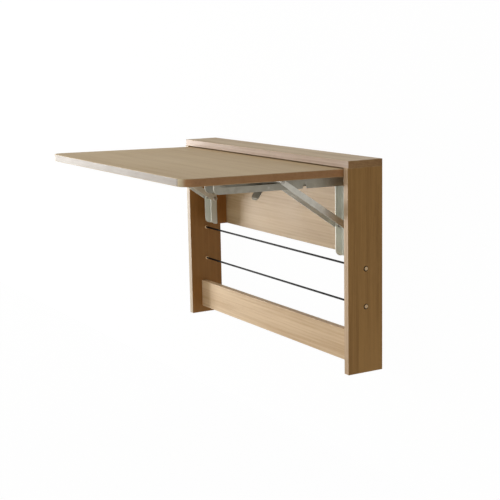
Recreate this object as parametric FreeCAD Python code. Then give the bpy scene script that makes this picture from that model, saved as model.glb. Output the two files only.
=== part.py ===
import FreeCAD, Part

import math
import os

from FreeCAD import Vector

# Wall-mounted drop-leaf table: a shallow frame screwed to the wall and a leaf on two
# self-locking folding brackets.  Millimetres.  X runs right facing the wall, Y points into
# the wall (y = 0 is the wall face), Z is up.  The origin is the centre of the wall screws.

# --- frame boards ---------------------------------------------------------------------------
FRAME_WIDTH = 800.0          # outside of one side panel to the outside of the other
PANEL_DEPTH = 98.0           # side panels, wall face to front edge
PANEL_HEIGHT = 488.0         # side panels, foot to the underside of the cap
BOARD = 17.0                 # side panels, cap, back panel and lower rail
CAP_SETBACK = 2.0            # cap's front edge behind the side panels' front edges
EASE = 0.8                   # eased edges of the frame boards
BACK_HEIGHT = 220.5          # back panel, down from the cap
RAIL_HEIGHT = 75.6           # lower rail
RAIL_FOOT = 19.0             # lower rail's lower edge above the foot of the side panels
RAIL_SETBACK = 32.0          # lower rail's front face behind the side panels' front edges
BLOCK_WIDTH = 69.0           # corner blocks behind the folding brackets

# --- wall fixing ----------------------------------------------------------------------------
WALL_HOLE_PITCH_X = 500.0
WALL_HOLE_PITCH_Z = 40.0
WALL_HOLE_DIA = 5.5
WALL_SINK_DIA = 11.0         # countersink in the back panel's front face
WALL_HOLE_DROP = 43.0        # pattern centre below the underside of the cap

# --- rods -----------------------------------------------------------------------------------
ROD_DIA = 5.0
ROD_DROP = 17.6                  # upper rod below the back panel's lower edge
ROD_PITCH = 90.5                 # lower rod below the upper one
ROD_NUT_DIA = 12.0
ROD_NUT_LENGTH = 4.0
ROD_NUT_SINK = 5.0               # counterbore depth in the side panel's outer face
ROD_NUT_GAP = 0.5                # radial, round the nut in its counterbore
ROD_COLLAR_DIA = 9.0
ROD_COLLAR_LENGTH = 3.0
ROD_STOP = 1.5                   # closed end of the nut

# --- leaf -----------------------------------------------------------------------------------
LEAF_SIDE_GAP = 2.0              # between the leaf and each side panel
LEAF_THICK = 18.0
LEAF_CORNER = 30.0               # rounded front corners
LEAF_EASE = 1.2
LEAF_REAR = 9.0                  # rear edge behind the fold axis
LEAF_FOOT_GAP = 10.7             # hanging leaf's lower edge above the foot of the side panels
LEAF_LIFT = 12.5                 # underside above the fold axis
LEAF_RISE = 1.0                  # degrees, front edge up when the leaf is locked open

# --- folding brackets -----------------------------------------------------------------------
BRACKET_INSET = 73.5             # bracket centre from the frame's outer side
FOLD_FROM_BLOCK = 17.5           # fold axis in front of the corner blocks
FOLD_DROP = 33.5                 # fold axis below the underside of the cap
FOLD_RANGE = 91.0                # degrees, open and locked to hanging flat
STEEL = 1.8                      # channel wall
BEND = 1.2                       # inside bend radius of the channels
LEG_WIDTH = 37.0                 # outside of the leg's flanges
LEG_DEPTH = 20.0                 # flange depth from the block
LEG_LENGTH = 185.5               # fold axis to the foot of the leg
LEG_EAR = 8.0                    # ear radius round the fold axis
LEG_SHOULDER = 12.0              # top of the full-width leg below the fold axis
LEG_CORNER = 15.0                # rounded corner at the foot of the flanges
ARM_SIDE_GAP = 0.4               # arm flange outside the leg flange, and link outside the arm
ARM_WEB = 2.0
ARM_DEPTH = 25.0                 # underside of the leaf to the edge of the flanges
ARM_REACH = 350.5                # fold axis to the arm's front end
ARM_HEEL = 8.0                   # arm behind the fold axis
ARM_CORNER = 13.0
HEEL_CORNER = 7.0

# --- link between leg and arm ---------------------------------------------------------------
LINK_THICK = 2.0
LINK_FOOT_FROM_BLOCK = 10.0      # lower pin in front of the corner blocks
LINK_FOOT_DROP = 113.0           # lower pin below the fold axis
LINK_FOOT_RADIUS = 8.0
LINK_HEAD_RADIUS = 6.0
SLOT_LIFT = 5.5                  # slot centre line above the fold axis, square to the leaf
SLOT_START = 173.5               # slide pin in front of the fold axis when locked open
SLOT_WIDTH = 5.6
SLIDE_PIN_DIA = 5.0
SLOT_END_GAP = 0.3               # slide pin to the end of the slot

# --- pins, rivets and screws ----------------------------------------------------------------
PIN_FIT = 0.05                   # radial clearance of a pin in its hole
SIDE_CLEARANCE = 0.05            # axial clearance of a riveted head
FOLD_PIN_DIA = 8.0
FOLD_HEAD_DIA = 13.0
HEAD_THICK = 1.8
LINK_PIN_DIA = 8.0               # through the leg
LINK_SPIGOT_DIA = 6.0            # through the links
LINK_HEAD_DIA = 11.0
LINK_RIVET_HEAD_DIA = 9.0
NOTCH_GAP = 1.2                  # notch in the arm round the lower pin
SCREW_DIA = 4.0
SCREW_HOLE_GAP = 0.3             # radial, in steel
PILOT_GAP = 0.05                 # radial, in wood
SCREW_HEAD_DIA = 8.4
SCREW_HEAD_THICK = 2.3
LEAF_SCREW_LENGTH = 15.0
LEG_SCREW_STOP = 8.8             # point of a leg screw in front of the back panel
PANEL_SCREW_STOP = 8.0           # point of a panel screw behind the block's front
ARM_SCREW_REAR = 30.0            # in front of the fold axis
ARM_SCREW_MIDDLE = 140.0
ARM_SCREW_END = 8.5              # behind the arm's front end
LEG_SCREW_TOP = 24.0             # below the fold axis
LEG_SCREW_END = 20.5             # above the leg's foot
PANEL_SCREW_TOP = 40.0           # below the cap, through the back panel
PANEL_SCREW_PITCH = 140.0

# --- release lever --------------------------------------------------------------------------
LEVER_PIVOT = 209.5              # in front of the fold axis
LEVER_DROP = 5.2                 # pivot below the fold axis, square to the leaf
LEVER_PIN_DIA = 5.0
LEVER_WIDTH = 30.0
LEVER_STEEL = 1.8
LEVER_EAR = 5.6
LEVER_PLATE_GAP = 0.6            # lever plate above its pin
LEVER_NOSE = 28.5                # nose behind the pivot
LEVER_NOSE_LIFT = 2.2            # nose above the lever plate
LEVER_TONGUE = 24.0              # bend of the finger tab in front of the pivot
LEVER_TONGUE_DROP = 27.0         # bend of the finger tab below the lever plate
LEVER_FLAT = 3.0                 # flat of the plate behind the ears
LEVER_TAB = 1.5                  # finger tab's tip in front of its bend
LEVER_TAB_DROP = 5.0             # finger tab's tip below its bend
LEVER_CORNER = 11.0              # rounded corners of the finger tab
LEVER_BEND = 3.0
SPRING_WIRE = 0.7
SPRING_BORE_GAP = 0.3            # spring coil round its pin
SPRING_WIDTH = 2.8               # close coil of four turns
SPRING_FRONT_LEG = 8.2           # over the tongue
SPRING_REAR_LEG = 9.0            # to a hole in the arm's flange
SPRING_HOOK_GAP = 0.25           # radial, round the hooked end in the flange

# --- dowels ---------------------------------------------------------------------------------
DOWEL_DIA = 8.0
DOWEL_LENGTH = 26.0
DOWEL_FIT = 0.05
DOWEL_IN_FACE = 11.0             # length of a dowel in the board it enters through a face
CAP_DOWEL_FIRST = 28.0           # from the wall, in each side panel
CAP_DOWEL_PITCH = 44.0
BACK_DOWEL_FIRST = 48.0          # below the cap, at each end of the back panel
BACK_DOWEL_PITCH = 124.0
RAIL_DOWEL_FIRST = 19.0          # above the rail's lower edge, at each end
RAIL_DOWEL_PITCH = 38.0

# --- places worked out from the sizes -------------------------------------------------------
CAP_UNDER = WALL_HOLE_DROP
FOOT = CAP_UNDER - PANEL_HEIGHT
CAP_TOP = CAP_UNDER + BOARD
HALF = FRAME_WIDTH / 2.0
INNER = HALF - BOARD
BACK_FOOT = CAP_UNDER - BACK_HEIGHT
FOLD_Y = LEAF_LIFT + LEAF_THICK - PANEL_DEPTH
FOLD_Z = CAP_UNDER - FOLD_DROP
BLOCK_FRONT = FOLD_Y + FOLD_FROM_BLOCK
BLOCK_DEPTH = -BLOCK_FRONT - BOARD
RAIL_FRONT = -PANEL_DEPTH + RAIL_SETBACK
RAIL_BACK = RAIL_FRONT + BOARD
RAIL_LOW = FOOT + RAIL_FOOT
ROD_Y = BLOCK_FRONT + ROD_DIA / 2.0
ROD_UPPER_Z = BACK_FOOT - ROD_DROP
ROD_LOWER_Z = ROD_UPPER_Z - ROD_PITCH
ROD_PLACES = (ROD_LOWER_Z, ROD_UPPER_Z)
ROD_END = HALF - ROD_NUT_SINK + ROD_NUT_LENGTH - ROD_STOP
BRACKET_X = HALF - BRACKET_INSET
LEAF_HALF = INNER - LEAF_SIDE_GAP
LEAF_REACH = PANEL_HEIGHT - FOLD_DROP - LEAF_FOOT_GAP
LINK_FOOT_Y = BLOCK_FRONT - LINK_FOOT_FROM_BLOCK
LINK_FOOT_Z = FOLD_Z - LINK_FOOT_DROP
LEG_HALF = LEG_WIDTH / 2.0
LEG_FRONT = BLOCK_FRONT - LEG_DEPTH
LEG_FOOT = FOLD_Z - LEG_LENGTH
ARM_INNER = LEG_HALF + ARM_SIDE_GAP
ARM_HALF = ARM_INNER + STEEL
ARM_EDGE = LEAF_LIFT - ARM_DEPTH
LINK_INNER = ARM_HALF + ARM_SIDE_GAP
LINK_OUTER = LINK_INNER + LINK_THICK
LEG_SCREW_LENGTH = STEEL + BLOCK_DEPTH - LEG_SCREW_STOP
PANEL_SCREW_LENGTH = BOARD + BLOCK_DEPTH - PANEL_SCREW_STOP
ARM_SCREWS = (ARM_SCREW_REAR, ARM_SCREW_MIDDLE, ARM_REACH - ARM_SCREW_END)
LEG_SCREW_LOW = LEG_LENGTH - LEG_SCREW_END
LEG_SCREWS = (LEG_SCREW_TOP, (LEG_SCREW_TOP + LEG_SCREW_LOW) / 2.0, LEG_SCREW_LOW)
SIDES = (("left", -1.0), ("right", 1.0))


def turned(forward, up, degrees):
    """A (forward, up) pair turned about the fold axis, front edge down for a plus angle."""
    angle = math.radians(degrees)
    return (forward * math.cos(angle) + up * math.sin(angle),
            up * math.cos(angle) - forward * math.sin(angle))


def link_foot_seen_from_leaf():
    """The lower link pin in the hanging leaf's own frame: (forward, up)."""
    return turned(FOLD_Y - LINK_FOOT_Y, LINK_FOOT_Z - FOLD_Z, LEAF_RISE - FOLD_RANGE)


def link_pose():
    """The link's length and its slope in degrees when the leaf is open."""
    forward, up = turned(SLOT_START, SLOT_LIFT, -LEAF_RISE)
    run = forward + LINK_FOOT_Y - FOLD_Y
    climb = FOLD_Z + up - LINK_FOOT_Z
    return math.hypot(run, climb), math.degrees(math.atan2(climb, run))


LINK_LENGTH, LINK_SLOPE = link_pose()
NOTCH_FORWARD, NOTCH_UP = link_foot_seen_from_leaf()
SLOT_END = NOTCH_FORWARD + math.sqrt(LINK_LENGTH ** 2 - (SLOT_LIFT - NOTCH_UP) ** 2)


# --- helpers --------------------------------------------------------------------------------
def box(x_low, x_high, y_low, y_high, z_low, z_high):
    size = Vector(x_high - x_low, y_high - y_low, z_high - z_low)
    return Part.makeBox(size.x, size.y, size.z, Vector(x_low, y_low, z_low))


def rod_x(radius, x_low, x_high, y, z):
    return Part.makeCylinder(radius, x_high - x_low, Vector(x_low, y, z), Vector(1, 0, 0))


def rod_y(radius, x, y_low, y_high, z):
    return Part.makeCylinder(radius, y_high - y_low, Vector(x, y_low, z), Vector(0, 1, 0))


def rod_z(radius, x, y, z_low, z_high):
    return Part.makeCylinder(radius, z_high - z_low, Vector(x, y, z_low), Vector(0, 0, 1))


def mirrored(shape):
    """The same shape on the other side of the frame's middle."""
    return shape.mirror(Vector(0, 0, 0), Vector(1, 0, 0))


def moved_x(shape, distance):
    copy = shape.copy()
    copy.translate(Vector(distance, 0, 0))
    return copy


def eased(shape, radius, is_eased):
    """Round the straight edges for which is_eased(edge) holds."""
    edges = [edge for edge in shape.Edges if is_eased(edge)]
    return shape.makeFillet(radius, edges)


def runs_along(edge, axis):
    ends = edge.Vertexes
    if len(ends) < 2:
        return False
    way = ends[1].Point - ends[0].Point
    return abs(abs(way.dot(axis)) - way.Length) < 1e-6


def prism_x(points, x_low, x_high, rounds=None):
    """A profile of (y, z) points drawn along X; rounds gives a radius by point number."""
    corners = [Vector(x_low, y, z) for y, z in points]
    face = Part.Face(Part.makePolygon(corners + corners[:1]))
    solid = face.extrude(Vector(x_high - x_low, 0, 0))
    for number, radius in (rounds or {}).items():
        y, z = points[number]
        spot = Vector((x_low + x_high) / 2.0, y, z)
        edge = min(solid.Edges, key=lambda item: (item.CenterOfMass - spot).Length)
        solid = solid.makeFillet(radius, [edge])
    return solid


def channel(half_width, wall, web, depth, length):
    """A pressed channel: web on top, flanges down, drawn along -Y from y = 0."""
    outer = box(-half_width, half_width, -length, 0, -depth, 0)
    inner = box(wall - half_width, half_width - wall, -length, 0, -depth, -web)
    outer_edges = [e for e in outer.Edges if runs_along(e, Vector(0, 1, 0))
                   and e.CenterOfMass.z > -1e-6]
    inner_edges = [e for e in inner.Edges if runs_along(e, Vector(0, 1, 0))
                   and e.CenterOfMass.z > -web - 1e-6]
    outer = outer.makeFillet(BEND + wall, outer_edges)
    inner = inner.makeFillet(BEND, inner_edges)
    return outer.cut(inner)


def screw(length):
    """A pan-head screw along +Z with the underside of its head at z = 0."""
    head = rod_z(SCREW_HEAD_DIA / 2.0, 0, 0, -SCREW_HEAD_THICK, 0)
    return head.fuse(rod_z(SCREW_DIA / 2.0, 0, 0, 0, length))


def countersunk_screw(length):
    """A flat-head screw along +Z with its head flush at z = 0."""
    sink = (SCREW_HEAD_DIA - SCREW_DIA) / 2.0
    head = Part.makeCone(SCREW_HEAD_DIA / 2.0, SCREW_DIA / 2.0, sink)
    return head.fuse(rod_z(SCREW_DIA / 2.0, 0, 0, sink, length)).removeSplitter()


def countersunk_hole(length):
    """The hole that the flat-head screw sits in, a pilot clearance larger all round."""
    radius = SCREW_DIA / 2.0 + PILOT_GAP
    head_radius = SCREW_HEAD_DIA / 2.0 + PILOT_GAP
    sink = head_radius - radius
    return Part.makeCone(head_radius, radius, sink).fuse(rod_z(radius, 0, 0, sink, length))


def placed(shape, x, y, z, axis=Vector(0, 0, 1)):
    """A shape modelled along +Z, stood at a point with its +Z along the given axis."""
    copy = shape.copy()
    turn = FreeCAD.Rotation(Vector(0, 0, 1), axis)
    copy.Placement = FreeCAD.Placement(Vector(x, y, z), turn).multiply(copy.Placement)
    return copy


def on_leaf(shape):
    """From the leaf's frame (fold axis at the origin, forward -Y, up +Z) to the open leaf."""
    copy = shape.copy()
    copy.rotate(Vector(0, 0, 0), Vector(1, 0, 0), -LEAF_RISE)
    copy.translate(Vector(0, FOLD_Y, FOLD_Z))
    return copy


def on_link(shape):
    """From the link's frame (lower pin at the origin, head towards -Y) to the open leaf."""
    copy = shape.copy()
    copy.rotate(Vector(0, 0, 0), Vector(1, 0, 0), -LINK_SLOPE)
    copy.translate(Vector(0, LINK_FOOT_Y, LINK_FOOT_Z))
    return copy


def compound(shapes):
    return Part.makeCompound(list(shapes))


# --- dowels ---------------------------------------------------------------------------------
def cap_dowel_spots():
    """Feet of the upright dowels between the cap and the side panels."""
    low = CAP_UNDER - (DOWEL_LENGTH - DOWEL_IN_FACE)
    middle = HALF - BOARD / 2.0
    return [(Vector(side * middle, -y, low), Vector(0, 0, 1)) for _, side in SIDES
            for y in (CAP_DOWEL_FIRST, CAP_DOWEL_FIRST + CAP_DOWEL_PITCH)]


def side_dowel_spots(heights, y):
    """Level dowels from the ends of a board into both side panels."""
    start = INNER - (DOWEL_LENGTH - DOWEL_IN_FACE)
    return [(Vector(side * start, y, z), Vector(side, 0, 0)) for _, side in SIDES for z in heights]


def back_dowel_spots():
    top = CAP_UNDER - BACK_DOWEL_FIRST
    return side_dowel_spots((top, top - BACK_DOWEL_PITCH), -BOARD / 2.0)


def rail_dowel_spots():
    low = RAIL_LOW + RAIL_DOWEL_FIRST
    return side_dowel_spots((low, low + RAIL_DOWEL_PITCH), RAIL_FRONT + BOARD / 2.0)


def dowels(spots):
    peg = rod_z(DOWEL_DIA / 2.0, 0, 0, 0, DOWEL_LENGTH)
    return compound(placed(peg, *spot, axis=way) for spot, way in spots)


def dowel_holes(spots):
    radius = DOWEL_DIA / 2.0 + DOWEL_FIT
    hole = rod_z(radius, 0, 0, -DOWEL_FIT, DOWEL_LENGTH + DOWEL_FIT)
    return compound(placed(hole, *spot, axis=way) for spot, way in spots)


# --- frame ----------------------------------------------------------------------------------
def side_panel():
    """The right side panel; the left one is its mirror image."""
    board = box(INNER, HALF, -PANEL_DEPTH, 0, FOOT, CAP_UNDER)
    board = eased(board, EASE, lambda e: e.CenterOfMass.y < EASE - PANEL_DEPTH)
    board = board.cut(dowel_holes(cap_dowel_spots() + back_dowel_spots() + rail_dowel_spots()))
    sink = ROD_NUT_DIA / 2.0 + ROD_NUT_GAP
    for z in ROD_PLACES:
        hole = rod_x(ROD_DIA / 2.0 + PIN_FIT, INNER, HALF, ROD_Y, z)
        seat = rod_x(sink, HALF - ROD_NUT_SINK, HALF, ROD_Y, z)
        board = board.cut(hole.fuse(seat))
    return board


def top_cap():
    board = box(-HALF, HALF, CAP_SETBACK - PANEL_DEPTH, 0, CAP_UNDER, CAP_TOP)
    front = CAP_SETBACK - PANEL_DEPTH + EASE
    board = eased(board, EASE, lambda e: e.CenterOfMass.y < front or e.CenterOfMass.z > CAP_TOP - EASE)
    return board.cut(dowel_holes(cap_dowel_spots()))


def panel_screw_spots():
    """Flat-head screws from the wall side through the back panel into the corner blocks."""
    middle = INNER - BLOCK_WIDTH / 2.0
    top = CAP_UNDER - PANEL_SCREW_TOP
    return [(side * middle, 0, z) for _, side in SIDES for z in (top, top - PANEL_SCREW_PITCH)]


def panel_screw_holes():
    hole = countersunk_hole(PANEL_SCREW_LENGTH + PILOT_GAP)
    return compound(placed(hole, *spot, axis=Vector(0, -1, 0)) for spot in panel_screw_spots())


def back_panel():
    board = box(-INNER, INNER, -BOARD, 0, BACK_FOOT, CAP_UNDER)
    board = eased(board, EASE, lambda e: e.CenterOfMass.z < BACK_FOOT + EASE and e.CenterOfMass.y < -EASE
                  and runs_along(e, Vector(1, 0, 0)))
    board = board.cut(dowel_holes(back_dowel_spots())).cut(panel_screw_holes())
    radius = WALL_HOLE_DIA / 2.0
    sink = WALL_SINK_DIA / 2.0
    for x in (-WALL_HOLE_PITCH_X / 2.0, WALL_HOLE_PITCH_X / 2.0):
        for z in (-WALL_HOLE_PITCH_Z / 2.0, WALL_HOLE_PITCH_Z / 2.0):
            hole = rod_y(radius, x, -BOARD, 0, z)
            cone = Part.makeCone(sink, radius, sink - radius, Vector(x, -BOARD, z), Vector(0, 1, 0))
            board = board.cut(hole.fuse(cone))
    return board


def bracket_block():
    block = box(INNER - BLOCK_WIDTH, INNER, BLOCK_FRONT, -BOARD, BACK_FOOT, CAP_UNDER)
    block = eased(block, EASE, lambda e: e.CenterOfMass.y < BLOCK_FRONT + EASE
                  and runs_along(e, Vector(0, 0, 1)) and e.CenterOfMass.x < INNER - EASE)
    return block.cut(panel_screw_holes()).cut(leg_screw_holes(PILOT_GAP))


def lower_rail():
    board = box(-INNER, INNER, RAIL_FRONT, RAIL_BACK, RAIL_LOW, RAIL_LOW + RAIL_HEIGHT)
    board = eased(board, EASE, lambda e: runs_along(e, Vector(1, 0, 0)))
    return board.cut(dowel_holes(rail_dowel_spots()))


def rod(z):
    return rod_x(ROD_DIA / 2.0, -ROD_END, ROD_END, ROD_Y, z)


def rod_nuts():
    """Sleeve nuts in the side panels' counterbores, each bored for its rod's end."""
    nuts = []
    seat = HALF - ROD_NUT_SINK
    for z in ROD_PLACES:
        nut = rod_x(ROD_NUT_DIA / 2.0, seat, seat + ROD_NUT_LENGTH, ROD_Y, z)
        nut = nut.cut(rod_x(ROD_DIA / 2.0 + PIN_FIT, seat, ROD_END, ROD_Y, z))
        nuts += [nut, mirrored(nut)]
    return compound(nuts)


def rod_collars():
    """Plain collars on the rods against the side panels' inner faces."""
    collars = []
    for z in ROD_PLACES:
        collar = rod_x(ROD_COLLAR_DIA / 2.0, INNER - ROD_COLLAR_LENGTH, INNER, ROD_Y, z)
        collar = collar.cut(rod_x(ROD_DIA / 2.0 + PIN_FIT, 0, INNER, ROD_Y, z))
        collars += [collar, mirrored(collar)]
    return compound(collars)


# --- folding brackets -----------------------------------------------------------------------
def leg_screw_holes(gap):
    """Holes for the right leg's screws, a radial gap larger than the shank."""
    radius = SCREW_DIA / 2.0 + gap
    front = BLOCK_FRONT - STEEL
    back = front + LEG_SCREW_LENGTH + gap
    return compound(rod_y(radius, BRACKET_X, front, back, FOLD_Z - drop) for drop in LEG_SCREWS)


def leg():
    """Wall leg of the right bracket: a channel with ears round the fold axis."""
    reach = FOLD_Y - LEG_EAR
    height = FOLD_Z + LEG_EAR - LEG_FOOT
    part = upright_channel(reach, height).common(leg_outline())
    holes = [rod_x(FOLD_PIN_DIA / 2.0 + PIN_FIT, -LEG_HALF, LEG_HALF, FOLD_Y, FOLD_Z),
             rod_x(LINK_PIN_DIA / 2.0 + PIN_FIT, -LEG_HALF, LEG_HALF, LINK_FOOT_Y, LINK_FOOT_Z)]
    part = moved_x(part.cut(compound(holes)), BRACKET_X)
    return part.cut(leg_screw_holes(SCREW_HOLE_GAP))


def upright_channel(reach, height):
    """The leg's channel before its flanges are trimmed: web on the block, flanges forward."""
    outer = box(-LEG_HALF, LEG_HALF, reach, BLOCK_FRONT, LEG_FOOT, LEG_FOOT + height)
    inner = box(STEEL - LEG_HALF, LEG_HALF - STEEL, reach, BLOCK_FRONT - STEEL,
                LEG_FOOT, LEG_FOOT + height)
    outer = outer.makeFillet(BEND + STEEL, [e for e in outer.Edges
                                            if runs_along(e, Vector(0, 0, 1))
                                            and e.CenterOfMass.y > BLOCK_FRONT - 1e-6])
    inner = inner.makeFillet(BEND, [e for e in inner.Edges
                                    if runs_along(e, Vector(0, 0, 1))
                                    and e.CenterOfMass.y > BLOCK_FRONT - STEEL - 1e-6])
    return outer.cut(inner)


def leg_outline():
    """Side view of the leg's flanges: straight front, round ear, rounded front foot."""
    shoulder = FOLD_Z - LEG_SHOULDER
    strip = prism_x([(BLOCK_FRONT, LEG_FOOT), (BLOCK_FRONT, shoulder), (LEG_FRONT, shoulder),
                     (LEG_FRONT, LEG_FOOT)], -LEG_HALF, LEG_HALF, {3: LEG_CORNER})
    ear = rod_x(LEG_EAR, -LEG_HALF, LEG_HALF, FOLD_Y, FOLD_Z)
    away = math.hypot(BLOCK_FRONT - FOLD_Y, FOLD_Z - shoulder)
    lean = math.atan2(FOLD_Z - shoulder, BLOCK_FRONT - FOLD_Y)
    touch = math.acos(LEG_EAR / away) - lean
    rear = (FOLD_Y + LEG_EAR * math.cos(touch), FOLD_Z + LEG_EAR * math.sin(touch))
    gusset = prism_x([(BLOCK_FRONT, shoulder), rear, (FOLD_Y, FOLD_Z),
                      (FOLD_Y - LEG_EAR, FOLD_Z), (LEG_FRONT, shoulder)], -LEG_HALF, LEG_HALF)
    return strip.fuse(ear).fuse(gusset).removeSplitter()


def slot(half_width, width, start, end):
    """A slot with round ends along the arm, cut right across it."""
    radius = width / 2.0
    bar = box(-half_width, half_width, -end, -start, SLOT_LIFT - radius, SLOT_LIFT + radius)
    ends = rod_x(radius, -half_width, half_width, -start, SLOT_LIFT)
    return bar.fuse(ends).fuse(rod_x(radius, -half_width, half_width, -end, SLOT_LIFT))


def arm_screw_holes(gap, side):
    """Holes for the arm's screws in the leaf's frame."""
    radius = SCREW_DIA / 2.0 + gap
    low = LEAF_LIFT - ARM_WEB
    high = low + LEAF_SCREW_LENGTH + gap
    return compound(rod_z(radius, side * BRACKET_X, -u, low, high) for u in ARM_SCREWS)


def arm():
    """Leaf arm of the right bracket in the leaf's frame: a slotted channel, flanges down."""
    bar = channel(ARM_HALF, STEEL, ARM_WEB, ARM_DEPTH, ARM_HEEL + ARM_REACH)
    bar.translate(Vector(0, ARM_HEEL, LEAF_LIFT))
    side = prism_x([(ARM_HEEL, ARM_EDGE), (ARM_HEEL, LEAF_LIFT), (-ARM_REACH, LEAF_LIFT),
                    (-ARM_REACH, ARM_EDGE)], -ARM_HALF, ARM_HALF, {3: ARM_CORNER, 0: HEEL_CORNER})
    bar = bar.common(side)
    across = ARM_HALF + 1.0
    cutters = [slot(across, SLOT_WIDTH, SLOT_START - SLOT_END_GAP + (SLOT_WIDTH - SLIDE_PIN_DIA) / 2.0,
                    SLOT_END + SLOT_END_GAP - (SLOT_WIDTH - SLIDE_PIN_DIA) / 2.0),
               rod_x(FOLD_PIN_DIA / 2.0 + PIN_FIT, -across, across, 0, 0),
               rod_x(LEVER_PIN_DIA / 2.0 + PIN_FIT, -across, across, -LEVER_PIVOT, -LEVER_DROP)]
    radius = LINK_PIN_DIA / 2.0 + NOTCH_GAP
    mouth = box(-across, across, -NOTCH_FORWARD - radius, -NOTCH_FORWARD + radius,
                ARM_EDGE - 1.0, NOTCH_UP)
    cutters += [rod_x(radius, -across, across, -NOTCH_FORWARD, NOTCH_UP), mouth]
    cutters.append(spring_hook_hole())
    for cutter in cutters:
        bar = bar.cut(cutter)
    return moved_x(bar, BRACKET_X).cut(arm_screw_holes(SCREW_HOLE_GAP, 1.0))


def flat_link(x_low):
    """A link blank in the link's frame with its two holes, foot pin at the origin."""
    slope = math.acos((LINK_FOOT_RADIUS - LINK_HEAD_RADIUS) / LINK_LENGTH)
    foot_y = -LINK_FOOT_RADIUS * math.cos(slope)
    foot_z = LINK_FOOT_RADIUS * math.sin(slope)
    head_y = -LINK_LENGTH - LINK_HEAD_RADIUS * math.cos(slope)
    head_z = LINK_HEAD_RADIUS * math.sin(slope)
    x_high = x_low + LINK_THICK
    bar = prism_x([(foot_y, foot_z), (head_y, head_z), (head_y, -head_z), (foot_y, -foot_z)],
                  x_low, x_high)
    blank = bar.fuse(rod_x(LINK_FOOT_RADIUS, x_low, x_high, 0, 0))
    blank = blank.fuse(rod_x(LINK_HEAD_RADIUS, x_low, x_high, -LINK_LENGTH, 0)).removeSplitter()
    foot_hole = rod_x(LINK_SPIGOT_DIA / 2.0 + PIN_FIT, x_low, x_high, 0, 0)
    head_hole = rod_x(SLIDE_PIN_DIA / 2.0 + PIN_FIT, x_low, x_high, -LINK_LENGTH, 0)
    return blank.cut(foot_hole).cut(head_hole)


def link_rivets():
    """Head rivets of one strut, in the link's frame: flush inside, headed outside."""
    rivets = []
    for way in (1.0, -1.0):
        axis = Vector(way, 0, 0)
        start = Vector(way * LINK_INNER, -LINK_LENGTH, 0)
        under = Vector(way * (LINK_OUTER + SIDE_CLEARANCE), -LINK_LENGTH, 0)
        stem = Part.makeCylinder(SLIDE_PIN_DIA / 2.0, LINK_THICK + SIDE_CLEARANCE, start, axis)
        rivets.append(stem.fuse(Part.makeCylinder(LINK_RIVET_HEAD_DIA / 2.0, HEAD_THICK, under, axis)))
    return compound(rivets)


def headed_pin(radius, half_length, head_radius):
    """A pin along X through the origin with a head at each end."""
    pin = rod_x(radius, -half_length, half_length, 0, 0)
    for low in (half_length, -half_length - HEAD_THICK):
        pin = pin.fuse(rod_x(head_radius, low, low + HEAD_THICK, 0, 0))
    return pin


def fold_pins():
    pin = headed_pin(FOLD_PIN_DIA / 2.0, ARM_HALF + SIDE_CLEARANCE, FOLD_HEAD_DIA / 2.0)
    pin.translate(Vector(BRACKET_X, FOLD_Y, FOLD_Z))
    return compound([pin, mirrored(pin)])


def link_pins():
    """Shouldered rivets through the leg, with a link riveted on each end."""
    pin = headed_pin(LINK_SPIGOT_DIA / 2.0, LINK_OUTER + SIDE_CLEARANCE, LINK_HEAD_DIA / 2.0)
    shoulder = LINK_INNER - SIDE_CLEARANCE
    pin = pin.fuse(rod_x(LINK_PIN_DIA / 2.0, -shoulder, shoulder, 0, 0))
    pin.translate(Vector(BRACKET_X, LINK_FOOT_Y, LINK_FOOT_Z))
    return compound([pin, mirrored(pin)])


def slide_pin():
    """Slide pin of the right bracket in the leaf's frame, flush with the arm's flanges."""
    pin = rod_x(SLIDE_PIN_DIA / 2.0, -ARM_HALF, ARM_HALF, -SLOT_START, SLOT_LIFT)
    return moved_x(pin, BRACKET_X)


def leg_screws():
    body = screw(LEG_SCREW_LENGTH)
    front = BLOCK_FRONT - STEEL
    return compound(placed(body, side * BRACKET_X, front, FOLD_Z - drop, Vector(0, 1, 0))
                    for _, side in SIDES for drop in LEG_SCREWS)


def arm_screws():
    body = screw(LEAF_SCREW_LENGTH)
    seat = LEAF_LIFT - ARM_WEB
    return on_leaf(compound(placed(body, side * BRACKET_X, -u, seat)
                            for _, side in SIDES for u in ARM_SCREWS))


def panel_screws():
    body = countersunk_screw(PANEL_SCREW_LENGTH)
    return compound(placed(body, *spot, axis=Vector(0, -1, 0)) for spot in panel_screw_spots())


# --- release lever --------------------------------------------------------------------------
def bent_strip(path, thick, x_low, x_high, radius):
    """A strip of constant thickness along (y, z) path points, with rounded bends."""
    offsets = []
    for number, point in enumerate(path):
        before = path[max(number - 1, 0)]
        after = path[min(number + 1, len(path) - 1)]
        offsets.append(mitre(before, point, after, thick / 2.0))
    upper = [(p[0] + o[0], p[1] + o[1]) for p, o in zip(path, offsets)]
    lower = [(p[0] - o[0], p[1] - o[1]) for p, o in zip(path, offsets)]
    corners = upper + lower[::-1]
    rounds = {}
    for number in range(1, len(path) - 1):
        turn_up = bends_up(path[number - 1], path[number], path[number + 1])
        inside = radius
        outside = radius + thick
        rounds[number] = inside if turn_up else outside
        rounds[len(corners) - 1 - number] = outside if turn_up else inside
    return prism_x(corners, x_low, x_high, rounds)


def mitre(before, point, after, half):
    """Offset from a path point to the strip's upper face, along the bend's mitre."""
    first = unit_normal(before, point) if before != point else unit_normal(point, after)
    second = unit_normal(point, after) if after != point else first
    total = (first[0] + second[0], first[1] + second[1])
    scale = 2.0 * half / (total[0] ** 2 + total[1] ** 2)
    return (total[0] * scale, total[1] * scale)


def unit_normal(start, end):
    """Unit normal of a run, on the upper side of a run towards -Y."""
    run = (end[0] - start[0], end[1] - start[1])
    length = math.hypot(*run)
    return (run[1] / length, -run[0] / length)


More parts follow.
